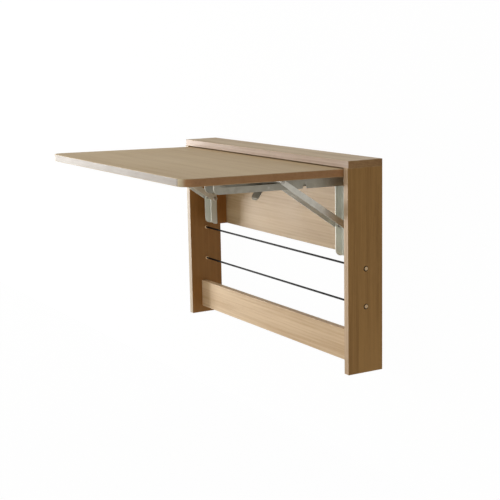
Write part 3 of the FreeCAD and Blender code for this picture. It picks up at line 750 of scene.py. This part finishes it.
class Fitter(Tree):
    """Sets one fitting on every point of a mesh, each at most a trace smaller than its model."""

    SMALLEST = 0.996
    SPIN_BY_SEED, SPIN_BY_SPOT, QUARTER_TURN = 37, 59, 90

    def __init__(self) -> None:
        """Build the tree."""
        super().__init__("set_fittings")
        points = self.input("Points", "Geometry")
        model = self.input("Fitting", "Object")
        shape = self.add("GeometryNodeObjectInfo", {"Object": model}, "Geometry",
                         transform_space="ORIGINAL")
        turn = self.add("GeometryNodeInputNamedAttribute", {"Name": "turn"},
                        data_type="FLOAT_VECTOR")
        euler = self.add("FunctionNodeEulerToRotation", {0: turn})
        size = self.add("FunctionNodeRandomValue",
                        {2: self.SMALLEST, 3: 1.0, "Seed": self.input("Seed", "Int")}, 1,
                        data_type="FLOAT")
        self.close(self.add("GeometryNodeInstanceOnPoints",
                            {"Points": points, "Instance": shape, "Rotation": euler,
                             "Scale": size}))

    def fit(self, name: str, model: Object, spots: Sequence[Spot], finish: Finish,
            body: str, node: str, slot: str, seed: int = 3) -> None:
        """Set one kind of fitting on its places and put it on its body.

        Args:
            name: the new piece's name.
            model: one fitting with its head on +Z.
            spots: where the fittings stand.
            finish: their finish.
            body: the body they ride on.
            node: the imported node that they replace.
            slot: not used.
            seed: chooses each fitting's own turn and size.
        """
        mesh = bpy.data.meshes.new(name + "_spots")
        mesh.from_pydata([spot.at for spot in spots], [], [])
        turns = mesh.attributes.new("turn", "FLOAT_VECTOR", "POINT").data
        for i, spot in enumerate(spots):
            spin = (seed * self.SPIN_BY_SEED + i * self.SPIN_BY_SPOT) % self.QUARTER_TURN
            turns[i].vector = spot.turn(math.radians(spin))
        values = {"Fitting": model, "Seed": seed, "Finish": finish.on(node, name + "_finish")}
        settle(self.grow(name, mesh, values), body, node)


class Coiler(Tree):
    """Winds a wire into a close coil along +Z and thickens it."""

    TURN_STEPS, WIRE_SIDES = 28, 8

    def __init__(self) -> None:
        """Build the tree."""
        super().__init__("wind_coil")
        turns, radius, length, wire = (
            self.input(name, "Float") for name in ("Turns", "Coil radius", "Length", "Wire radius"))
        coil = self.add("GeometryNodeCurveSpiral",
                        {"Resolution": self.TURN_STEPS, "Rotations": turns, "Start Radius": radius,
                         "End Radius": radius, "Height": length})
        ring = self.add("GeometryNodeCurvePrimitiveCircle",
                        {"Resolution": self.WIRE_SIDES, "Radius": wire}, mode="RADIUS")
        tube = self.add("GeometryNodeCurveToMesh",
                        {"Curve": coil, "Profile Curve": ring, "Fill Caps": True})
        self.close(self.add("GeometryNodeSetShadeSmooth", {"Geometry": tube}))


# ---- turned shapes

def hidden(name: str, shape: BMesh) -> Object:
    """Turn a bmesh into a model in no collection, for a tree to copy.

    Args:
        name: the model's name.
        shape: the mesh under construction, which is freed.

    Returns:
        The model.
    """
    bmesh.ops.remove_doubles(shape, verts=shape.verts, dist=TINY)
    bmesh.ops.recalc_face_normals(shape, faces=shape.faces)
    mesh = bpy.data.meshes.new(name)
    shape.to_mesh(mesh)
    shape.free()
    mesh.shade_smooth()
    mesh.set_sharp_from_angle(angle=SMOOTH_UNDER)
    return bpy.data.objects.new(name, mesh)


def lathe(profile: Sequence[Span], steps: int) -> BMesh:
    """Turn a profile about +Z.

    Args:
        profile: radius and height of each ring, from one end to the other; 0 closes an end.
        steps: faces round the axis.

    Returns:
        The new mesh.
    """
    shape = bmesh.new()
    rings = []
    for radius, height in profile:
        angles = [2.0 * math.pi * k / steps for k in range(steps if radius else 1)]
        rings.append([shape.verts.new((radius * math.cos(a), radius * math.sin(a), height))
                      for a in angles])
    for low, high in zip(rings, rings[1:]):
        for k in range(steps):
            ring = (low[k % len(low)], low[(k + 1) % len(low)],
                    high[(k + 1) % len(high)], high[k % len(high)])
            shape.faces.new([v for i, v in enumerate(ring) if v not in ring[:i]])
    return shape


def dome(radius: float, height: float, brow: float, rings: int = 5) -> Sequence[Span]:
    """Profile of a low dome from its rim up to its crown.

    Args:
        radius: outer radius.
        height: height of the crown above the underside.
        brow: straight height of the rim.
        rings: rings between the rim and the crown.

    Returns:
        Radius and height of each ring.
    """
    arc = [math.pi / 2.0 * k / rings for k in range(rings)]
    return [*((radius * math.cos(a), brow + (height - brow) * math.sin(a)) for a in arc),
            (0.0, height)]


@dataclass(frozen=True)
class CrossHeadScrew:
    """A wood screw whose head has a cross recess.

    Shares are of the shank's or the head's radius. Taper is the point's length in core radii,
    crest and runout are in pitches, plain in lengths and brow in head heights.
    """

    name: str
    length: float
    head_height: float = 2.3 * MM
    sunk: bool = False
    head_radius: float = 4.2 * MM
    shank_radius: float = 2.0 * MM
    core_share: float = 0.72
    neck_share: float = 0.9
    pitch_share: float = 1.1
    taper: float = 2.2
    crest: float = 0.5
    runout: float = 0.8
    plain: float = 0.35
    brow: float = 0.25
    rim_height: float = 0.2 * MM
    reach_share: float = 0.42
    arm_share: float = 0.11
    corner_turn: float = 0.35
    corner_gain: float = 2.4
    floor_share: float = 0.55
    wall_share: float = 0.38
    centre_share: float = 0.44
    steps: int = 32

    def _profile(self) -> Sequence[Span]:
        """Radius and height of each ring, from the point up to the rim of the recess.

        Returns:
            The profile for the lathe.
        """
        shank, head = self.shank_radius, self.head_radius
        core, neck, pitch = (shank * share for share in (self.core_share, self.neck_share,
                                                         self.pitch_share))
        z = self.taper * core - self.length
        points = [(0.0, -self.length), (core, z)]
        while z + pitch < -self.plain * self.length:
            points += [(shank, z + pitch * self.crest), (core, z + pitch)]
            z += pitch
        points.append((neck, z + pitch * self.runout))
        if self.sunk:
            return [*points, (neck, -self.head_height), (head, -self.rim_height), (head, 0.0)]
        crown = dome(head, self.head_height, self.head_height * self.brow)
        return [*points, (neck, 0.0), (head, 0.0), *crown[1:-1]]

    def model(self) -> Object:
        """Build one screw with its head on +Z.

        Returns:
            A hidden model for the fitter.
        """
        profile = self._profile()
        shape = lathe(profile, self.steps)
        top = profile[-1][1]
        rim = [v for v in shape.verts if abs(v.co.z - top) < TINY and len(v.link_faces) < 4]
        self._cross(shape, rim)
        return hidden(self.name, shape)

    def _cross(self, shape: BMesh, rim: Sequence[BMVert]) -> None:
        """Fill the head's top with a cross-shaped recess.

        Args:
            shape: the mesh under construction.
            rim: the last ring of the head.
        """
        ring = sorted(rim, key=lambda v: math.atan2(v.co.y, v.co.x))
        reach, half = self.head_radius * self.reach_share, self.head_radius * self.arm_share
        crown = 0.0 if self.sunk else self.head_height
        mouth, floor = [], []
        for vert in ring:
            angle = math.atan2(vert.co.y, vert.co.x)
            turn = abs((angle + math.pi / 4.0) % (math.pi / 2.0) - math.pi / 4.0)
            sine = math.sin(turn)
            radius = min(reach, half / max(sine, TINY))
            if turn > self.corner_turn:
                radius = min(radius, half * self.corner_gain / (sine + math.cos(turn)))
            x, y = radius * math.cos(angle), radius * math.sin(angle)
            mouth.append(shape.verts.new((x, y, crown)))
            floor.append(shape.verts.new((x * self.floor_share, y * self.floor_share,
                                          crown - self.head_radius * self.wall_share)))
        deep = crown - self.head_radius * self.centre_share
        centre = shape.verts.new((0.0, 0.0, deep))
        for k in range(len(ring)):
            n = (k + 1) % len(ring)
            shape.faces.new((ring[k], ring[n], mouth[n], mouth[k]))
            shape.faces.new((mouth[k], mouth[n], floor[n], floor[k]))
            shape.faces.new((floor[k], floor[n], centre))


@dataclass(frozen=True)
class PeenedPin:
    """A pin or rivet with a domed, slightly dished head at each end, or at one."""

    name: str
    stem_radius: float
    half_length: float
    head_radius: float
    head_height: float = 1.8 * MM
    one_end: bool = False
    brow: float = 0.35
    lip: float = 0.02 * MM
    dish_radii: Floats = (0.32, 0.22)
    dish_heights: Floats = (0.86, 0.82)
    steps: int = 36

    def model(self) -> Object:
        """Build the pin along Z, its middle or its plain end at the origin.

        Returns:
            A hidden model for the fitter.
        """
        wide, tall = self.head_radius, self.head_height
        head = dome(wide, tall, tall * self.brow)
        outer, inner = (wide * share for share in self.dish_radii)
        slope, floor = (tall * share for share in self.dish_heights)
        dish = [(outer, head[-2][1] + self.lip), (inner, slope), (0.0, floor)]
        top = [(r, self.half_length + z) for r, z in [*head[:-1], *dish]]
        upper = [(self.stem_radius, self.half_length), (wide, self.half_length), *top]
        plain = [(0.0, 0.0), (self.stem_radius, 0.0)]
        lower = plain if self.one_end else [(r, -z) for r, z in reversed(upper)]
        return hidden(self.name, lathe([*lower, *upper], self.steps))


@dataclass(frozen=True)
class Sleeve:
    """A turned sleeve with eased rims; a bore less deep than its height leaves a dished end."""

    name: str
    radius: float
    bore: float
    height: float
    depth: float
    ease: float = 0.5 * MM
    slight: float = 0.3
    dish_radii: Floats = (0.55, 0.5)
    dish_depths: Span = (0.25 * MM, 0.3 * MM)
    steps: int = 40

    def model(self) -> Object:
        """Build the sleeve with its foot at the origin.

        Returns:
            A hidden model for the fitter.
        """
        wide, bore, tall, ease = self.radius, self.bore, self.height, self.ease
        slight = self.slight * ease
        outer = [(bore, 0.0), (wide - ease, 0.0), (wide, ease), (wide, tall - ease),
                 (wide - slight, tall - slight), (wide - ease, tall)]
        if self.depth < tall:
            lip, hollow = (wide * share for share in self.dish_radii)
            slope, floor = (tall - depth for depth in self.dish_depths)
            profile = [(0.0, self.depth), (bore, self.depth), *outer,
                       (lip, tall), (hollow, slope), (0.0, floor)]
        else:
            profile = [*outer, (bore + slight, tall), (bore, tall - slight), (bore, 0.0)]
        return hidden(self.name, lathe(profile, self.steps))


@dataclass(frozen=True)
class TorsionSpring:
    """The spring of a release lever: a close coil and two hooked legs.

    Way is -1 for the left lever and 1 for the right one.
    """

    way: float
    wire: float = 0.35 * MM
    coil: float = 3.15 * MM
    turns: float = 4.0
    width: float = 2.1 * MM
    front: float = 8.2 * MM
    rear: float = 9.0 * MM
    front_hook: float = 4.6 * MM
    rear_hook: float = 3.6 * MM
    bend: float = 1.0 * MM

    def model(self, coiler: Coiler, name: str, finish: Material) -> Object:
        """Build the spring along X with its middle at the origin.

        Args:
            coiler: the tree that winds the coil.
            name: the piece's name.
            finish: its finish.

        Returns:
            The spring.
        """
        piece = coiler.grow(name, bpy.data.meshes.new(name + "_seed"),
                            {"Turns": self.turns, "Coil radius": self.coil, "Length": self.width,
                             "Wire radius": self.wire, "Finish": finish})
        mesh = piece.data
        mesh.transform(Matrix.Translation((-self.way * self.width / 2.0, 0.0, 0.0))
                       @ Matrix.Rotation(self.way * math.pi / 2.0, 4, "Y"))
        shape = bmesh.new()
        shape.from_mesh(mesh)
        shape.from_mesh(self._legs())
        shape.to_mesh(mesh)
        shape.free()
        mesh.shade_smooth()
        return piece

    def _legs(self) -> Mesh:
        """The straight ends of the wire, with rounded bends.

        Returns:
            The legs about the coil's middle.
        """
        curve = bpy.data.curves.new("spring_legs", "CURVE")
        curve.dimensions, curve.bevel_depth, curve.bevel_resolution = "3D", self.wire, 3
        curve.use_fill_caps = True
        for end, y, hook in ((self.way, -self.front, self.front_hook),
                             (-self.way, self.rear, self.rear_hook)):
            x, z = end * self.width / 2.0, self.coil
            before, corner, after = (Vector(point) for point in (
                (x, 0.0, z), (x, y, z), (x - end * hook, y, z)))
            near, far = (corner + (p - corner).normalized() * self.bend for p in (before, after))
            line = curve.splines.new("BEZIER")
            line.bezier_points.add(3)
            plan = ((before, before, near), (near, before, corner), (far, corner, after),
                    (after, far, after))
            for point, (place, left, right) in zip(line.bezier_points, plan):
                point.co, point.handle_left, point.handle_right = place, left, right
        holder = bpy.data.objects.new("spring_legs", curve)
        mesh = bpy.data.meshes.new_from_object(holder)
        bpy.data.objects.remove(holder)
        return mesh


# ---- the table

def dress(node: str, finish: Finish, kind: str) -> None:
    """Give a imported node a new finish.

    Args:
        node: the node's name.
        finish: its finish.
        kind: what the finish is called.
    """
    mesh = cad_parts[node].data
    mesh.materials.clear()
    mesh.materials.append(finish.on(node, f"{node}_{kind}"))
    LOG.info("%s: %s", node, kind)


@dataclass
class FrameBoards:
    """The fixed boards: sides, cap, back panel, corner blocks, rail and their dowels."""

    # Painted light: darker, browner tones on the faces turned right, where shade falls, and lit
    # tones on fronts.
    left: BoardFinish = BoardFinish(
        along=Along.Z, shaded_bores=True, faces=FacingLightTones(
            front=srgb(186, 172, 152), right=srgb(150, 100, 33), left=srgb(186, 156, 118)))
    right: BoardFinish = BoardFinish(
        along=Along.Z, shaded_bores=True, faces=FacingLightTones(
            front=srgb(206, 178, 146), right=srgb(189, 141, 74), left=srgb(196, 167, 128),
            depth=0.62))
    rail: BoardFinish = BoardFinish()
    # Painted shade: darker, browner tones for the corner blocks, which sit in shade behind the
    # brackets.
    block: BoardFinish = BoardFinish(
        pale=srgb(200, 166, 120), deep=srgb(166, 130, 86), along=Along.Z,
        faces=FacingLightTones(right=srgb(158, 104, 42), left=srgb(190, 160, 118)))
    # The back panel's darker tone is partly its own veneer and partly painted shade from the leaf
    # above.
    back: BoardFinish = BoardFinish(pale=srgb(184, 160, 125), deep=srgb(158, 131, 94))
    # Painted highlight on the cap's front and top, painted shade on its right end.
    cap: BoardFinish = BoardFinish(faces=FacingLightTones(
        front=srgb(222, 204, 192), right=srgb(182, 140, 92), left=srgb(190, 162, 126),
        top=srgb(200, 180, 148)))
    dowel: BoardFinish = BoardFinish(pale=srgb(224, 196, 150), deep=srgb(200, 168, 120),
                                     along=Along.Z, figure=0.1, seed=8.0)

    def build(self) -> None:
        """Dress every board with its own cut of veneer."""
        plans = {"side_panel_left": self.left, "side_panel_right": self.right,
                 "top_cap": self.cap, "back_panel": self.back, "lower_rail": self.rail,
                 "bracket_block_left": self.block, "bracket_block_right": self.block}
        for number, (node, style) in enumerate(plans.items(), 1):
            dress(node, replace(style, seed=float(number)), "veneer")
        for node in ("cap_dowels", "back_dowels", "rail_dowels"):
            dress(node, self.dowel, "beech")


@dataclass
class Leaf:
    """The drop leaf's board."""

    # Painted light: a grey front tone for the front edge's highlight, a brown right side for its
    # shade.
    finish: BoardFinish = BoardFinish(
        pale=srgb(240, 226, 196), deep=srgb(226, 208, 174), seed=11.0, figure=0.1,
        pore_share=0.25, sheen_rough=0.48, gloss=0.08, coat=0.0, wear=0.2, faces=FacingLightTones(
            front=srgb(159, 153, 150), right=srgb(195, 142, 95), left=srgb(190, 160, 124),
            top=srgb(197, 174, 137), depth=0.85))

    def build(self) -> None:
        """Dress the board."""
        dress("leaf_board", self.finish, "veneer")


@dataclass
class FoldingBrackets:
    """The two self-locking folding brackets, with their screws, pins, rivets and springs."""

    fitter: Fitter
    fold: Span = (-0.0675, 0.0095)
    foot: Span = (-0.06, -0.1035)
    rise: float = math.radians(1.0)
    centre_x: float = 0.3265
    leg_seat: float = -0.0518
    leg_screw_drops: Floats = (0.024, 0.0945, 0.165)
    arm_seat: float = 0.0105
    arm_screw_places: Floats = (0.03, 0.14, 0.342)
    panel_screw_x: float = 0.3485
    panel_screw_heights: Floats = (0.003, -0.137)
    link_inner: float = 0.0211
    slot_start: Span = (0.1735, 0.0055)
    lever_pivot: Span = (0.2095, -0.0052)
    spring_out: float = 0.01695
    long_pan: CrossHeadScrew = CrossHeadScrew("long_pan_screw", 25.9 * MM)
    pan: CrossHeadScrew = CrossHeadScrew("pan_screw", 14.9 * MM)
    flat: CrossHeadScrew = CrossHeadScrew("flat_screw", 41.9 * MM, 2.2 * MM, sunk=True)
    first_seed: int = 5
    fold_pin: PeenedPin = PeenedPin("fold_pin", 4.0 * MM, 20.75 * MM, 6.5 * MM)
    foot_pin: PeenedPin = PeenedPin("foot_pin", 3.0 * MM, 23.15 * MM, 5.5 * MM)
    head_rivet: PeenedPin = PeenedPin("head_rivet", 2.5 * MM, 2.05 * MM, 4.5 * MM, one_end=True)
    screw_finish: TurnedFinish = TurnedFinish(base=srgb(206, 200, 188), rough=0.34)
    # Painted light: one zinc plate, darker for arms and levers shaded under the leaf, paler for the
    # lit links.
    arm_finish: PlateFinish = PlateFinish(base=srgb(172, 168, 155), dull=srgb(148, 144, 132),
                                          rough=0.56)
    shaded_lever_finish: PlateFinish = PlateFinish(base=srgb(128, 122, 106), dull=srgb(104, 98, 84),
                                            rough=0.62, metal=0.6)
    link_finish: PlateFinish = PlateFinish(base=srgb(219, 217, 207), dull=srgb(193, 190, 180),
                                           along=Along.Z)
    leg_finish: EnamelFinish = EnamelFinish()
    # Painted light: the left leg is less metallic than the right, so it shows lighter, as it is
    # lit.
    leg_metal_lit_and_shaded: Tuple[float, float] = (0.05, 0.4)
    pin_finish: TurnedFinish = TurnedFinish()
    wire_finish: TurnedFinish = TurnedFinish(base=srgb(120, 118, 116), rough=0.32)

    def on_leaf(self, x: float, forward: float, up: float) -> Point:
        """A place on the leaf from its distance in front of and above the fold axis.

        Args:
            x: place along the fold axis.
            forward: distance in front of the axis, along the leaf.
            up: distance above the axis, square to the leaf.

        Returns:
            The place in the table's frame.
        """
        sine, cosine = math.sin(self.rise), math.cos(self.rise)
        y, z = self.fold
        return x, y - forward * cosine + up * sine, z + forward * sine + up * cosine

    def build(self) -> None:
        """Dress the pressed pieces and set the fittings."""
        plates = {"arm": self.arm_finish, "release_lever": self.shaded_lever_finish,
                  "inner_link": self.link_finish, "outer_link": self.link_finish}
        for (side, _), metal in zip(SIDES, self.leg_metal_lit_and_shaded):
            dress(f"leg_{side}", replace(self.leg_finish, metal=metal), "enamel")
            for stem, finish in plates.items():
                dress(f"{stem}_{side}", finish, "plate")
        for node in ("lever_pins", "slide_pin_left", "slide_pin_right"):
            dress(node, self.pin_finish, "steel")
        self._screws()
        self._pins()
        self._springs()

    def _screws(self) -> None:
        """Set the pan heads of the legs and the arms and the flat heads at the back."""
        down = (0.0, -math.sin(self.rise), -math.cos(self.rise))
        legs = [Spot((way * self.centre_x, self.leg_seat, self.fold[1] - drop), (0.0, -1.0, 0.0))
                for _, way in SIDES for drop in self.leg_screw_drops]
        arms = [Spot(self.on_leaf(way * self.centre_x, reach, self.arm_seat), down)
                for _, way in SIDES for reach in self.arm_screw_places]
        rear = [Spot((way * self.panel_screw_x, 0.0, z), (0.0, 1.0, 0.0))
                for _, way in SIDES for z in self.panel_screw_heights]
        plans = (("leg_pan_screws", self.long_pan, legs, "frame", "leg_screws"),
                 ("arm_pan_screws", self.pan, arms, "leaf", "arm_screws"),
                 ("rear_flat_screws", self.flat, rear, "frame", "panel_screws"))
        for seed, (name, screw, spots, body, node) in enumerate(plans, self.first_seed):
            self.fitter.fit(name, screw.model(), spots, self.screw_finish, body, node, "zinc", seed)

    def _pins(self) -> None:
        """Set the fold pins, the links' lower pins and the rivets at the links' heads."""
        for name, pin, place, node in (
                ("domed_fold_pins", self.fold_pin, self.fold, "fold_pins"),
                ("domed_foot_pins", self.foot_pin, self.foot, "link_pins")):
            spots = [Spot((way * self.centre_x, *place), (1.0, 0.0, 0.0)) for _, way in SIDES]
            self.fitter.fit(name, pin.model(), spots, self.pin_finish, "frame", node,
                            "rivet_steel")
        head = self.head_rivet.model()
        for side, way in SIDES:
            spots = [Spot(self.on_leaf(way * self.centre_x + end * self.link_inner,
                                       *self.slot_start), (end, 0.0, 0.0))
                     for end in (-1.0, 1.0)]
            self.fitter.fit(f"domed_link_rivets_{side}", head, spots, self.pin_finish,
                            f"strut_{side}", f"link_rivets_{side}", "rivet_steel")

    def _springs(self) -> None:
        """Wind the torsion springs of the release levers and stand them on the leaf."""
        coiler = Coiler()
        for side, way in SIDES:
            node = f"lever_spring_{side}"
            spring = TorsionSpring(way).model(coiler, f"wound_spring_{side}",
                                              self.wire_finish.on(node, node + "_wire"))
            middle = self.on_leaf(way * (self.centre_x + self.spring_out), *self.lever_pivot)
            spring.data.transform(Matrix.Translation(middle)
                                  @ Matrix.Rotation(-self.rise, 4, "X"))
            settle(spring, "leaf", node)


@dataclass
class Rods:
    """The two black rods with their sleeve nuts and collars."""

    fitter: Fitter
    lacquer: EnamelFinish = EnamelFinish(base=srgb(16, 14, 14), shade=srgb(9, 8, 8),
                                         bare=srgb(44, 40, 38), rough=0.5, coat=0.0, metal=0.0,
                                         gloss=0.08)
    plate: TurnedFinish = TurnedFinish(base=srgb(255, 222, 176), grime=srgb(232, 180, 124),
                                       rough=0.5, metal=0.0)
    nut: Sleeve = Sleeve("sleeve_nut", 4.6 * MM, 4.0 * MM, 4.8 * MM, 2.5 * MM)
    collar: Sleeve = Sleeve("rod_collar", 4.5 * MM, 2.55 * MM, 3.0 * MM, 3.0 * MM)
    nut_seat: float = 0.395
    nut_lean: float = 1.4 * MM
    nut_skirt: float = 0.3994
    collar_seat: float = 0.383

    def build(self) -> None:
        """Dress the rods and their fittings."""
        for node in ("rod_lower", "rod_upper"):
            dress(node, self.lacquer, "lacquer")
        # The nuts' sides sunk in the counterbores get painted shade.
        bore_shaded_nut_finish = replace(self.plate, skirt_x=self.nut_skirt)
        plans = (("domed_sleeve_nuts", self.nut, self.nut_seat, self.nut_lean, 1.0, bore_shaded_nut_finish,
                  "rod_nuts"),
                 ("rounded_collars", self.collar, self.collar_seat, 0.0, -1.0, self.plate,
                  "rod_collars"))
        for name, sleeve, seat, lean, out, finish, node in plans:
            spots = [Spot((way * seat, ROD_Y + lean, z), (way * out, 0.0, 0.0))
                     for _, way in SIDES for z in ROD_HEIGHTS]
            self.fitter.fit(name, sleeve.model(), spots, finish, "frame", node, "zinc")


# ---- studio

@dataclass(frozen=True)
class Lamp:
    """A square soft lamp, with its side in metres and its power in watts."""

    name: str
    at: Point
    to: Point
    size: float
    power: float
    colour: Colour = (1.0, 0.99, 0.97)

    def build(self) -> None:
        """Add the lamp and point it."""
        data = bpy.data.lights.new(self.name, "AREA")
        data.shape, data.size, data.energy = "SQUARE", self.size, self.power
        data.color = self.colour
        lamp = put(self.name, data)
        lamp.location = self.at
        lamp.rotation_mode = "QUATERNION"
        lamp.rotation_quaternion = (Vector(self.to) - Vector(self.at)).to_track_quat("-Z", "Y")


@dataclass(frozen=True)
class Camera:
    """The camera, to the right of the table and a little above it; its angles are in radians."""

    at: Point = (2.5888, -1.6416, 0.3358)
    yaw: float = 1.0411
    pitch: float = 0.1767
    roll: float = -0.0196
    lens: float = 84.67
    sensor: float = 36.0

    def build(self) -> None:
        """Add the camera and make it the scene's."""
        flat = Vector((-math.sin(self.yaw), math.cos(self.yaw), 0.0)) * math.cos(self.pitch)
        forward = flat - Vector((0.0, 0.0, math.sin(self.pitch)))
        side = Vector((math.cos(self.yaw), math.sin(self.yaw), 0.0))
        up = side.cross(forward)
        right = math.cos(self.roll) * side + math.sin(self.roll) * up
        top = math.cos(self.roll) * up - math.sin(self.roll) * side
        data = bpy.data.cameras.new("camera")
        data.lens, data.sensor_width = self.lens, self.sensor
        camera = put("camera", data)
        turn = Matrix((right, top, -forward)).transposed().to_4x4()
        camera.matrix_world = Matrix.Translation(self.at) @ turn
        bpy.context.scene.camera = camera


@dataclass
class Studio:
    """White wall, pale floor, soft lamps and an even sky."""

    paint: WallFinish = WallFinish()
    wall_gap: float = 3.0 * MM
    floor_z: float = -0.71
    reach: float = 6.0
    sky_tone: Colour = (1.0, 0.93, 0.83)
    sky_power: float = 0.24
    gleam: float = 0.7
    lamps: Tuple[Lamp, ...] = (
        Lamp("key", (-3.5, -1.75, -0.1), (0.0, -0.08, -0.15), 1.3, 127.0),
        Lamp("front", (0.4, -3.8, 0.1), (0.0, -0.08, -0.2), 1.6, 20.0),
        Lamp("top", (-0.5, -1.0, 2.6), (0.0, -0.25, 0.0), 1.5, 24.5),
        Lamp("rear", (-1.6, 3.0, 0.3), (0.0, 0.0, -0.15), 1.6, 60.0))

    def _sheet(self, name: str, outline: Sequence[Point]) -> Object:
        """Add a flat, painted stage sheet.

        Args:
            name: its name.
            outline: its corners, in order round the face that is lit.

        Returns:
            The sheet.
        """
        mesh = bpy.data.meshes.new(name)
        mesh.from_pydata(outline, [], [tuple(range(len(outline)))])
        sheet = put(name, mesh)
        mesh.materials.append(self.paint.make(name + "_paint"))
        return sheet

    def build(self) -> None:
        """Build the wall, the floor, the sky and the lamps."""
        r, y, z = self.reach, self.wall_gap, self.floor_z
        wall = self._sheet("wall", [(-r, y, z), (r, y, z), (r, y, r), (-r, y, r)])
        wall.visible_diffuse = wall.visible_shadow = wall.visible_glossy = False
        self._sheet("floor", [(-r, -r, z), (r, -r, z), (r, r, z), (-r, r, z)])
        self._sky()
        for lamp in self.lamps:
            lamp.build()

    def _sky(self) -> None:
        """Even light from everywhere, seen as white."""
        world = bpy.data.worlds.new("sky")
        bpy.context.scene.world = world
        world.use_nodes = True
        net = Net(world.node_tree)
        plain, white = (net.add("ShaderNodeBackground", {"Color": tone, "Strength": power})
                        for tone, power in ((self.sky_tone, self.sky_power), (WHITE, 1.0)))
        glossy = net.add("ShaderNodeLightPath", {}, "Is Glossy Ray")
        seen = glossy * self.gleam + glossy.also("Is Camera Ray")
        body = net.add("ShaderNodeMixShader", {0: seen, 1: plain, 2: white})
        net.feed(net.tree.nodes.new("ShaderNodeOutputWorld").inputs[0], body)


def main() -> None:
    """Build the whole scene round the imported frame."""
    logging.basicConfig(level=logging.INFO, format="%(message)s")
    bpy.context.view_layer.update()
    bpy.context.scene.view_settings.view_transform = "Standard"
    Camera().build()
    Studio().build()
    fitter = Fitter()
    for part in (FrameBoards(), Leaf(), FoldingBrackets(fitter), Rods(fitter)):
        part.build()


if __name__ == "__main__":
    main()
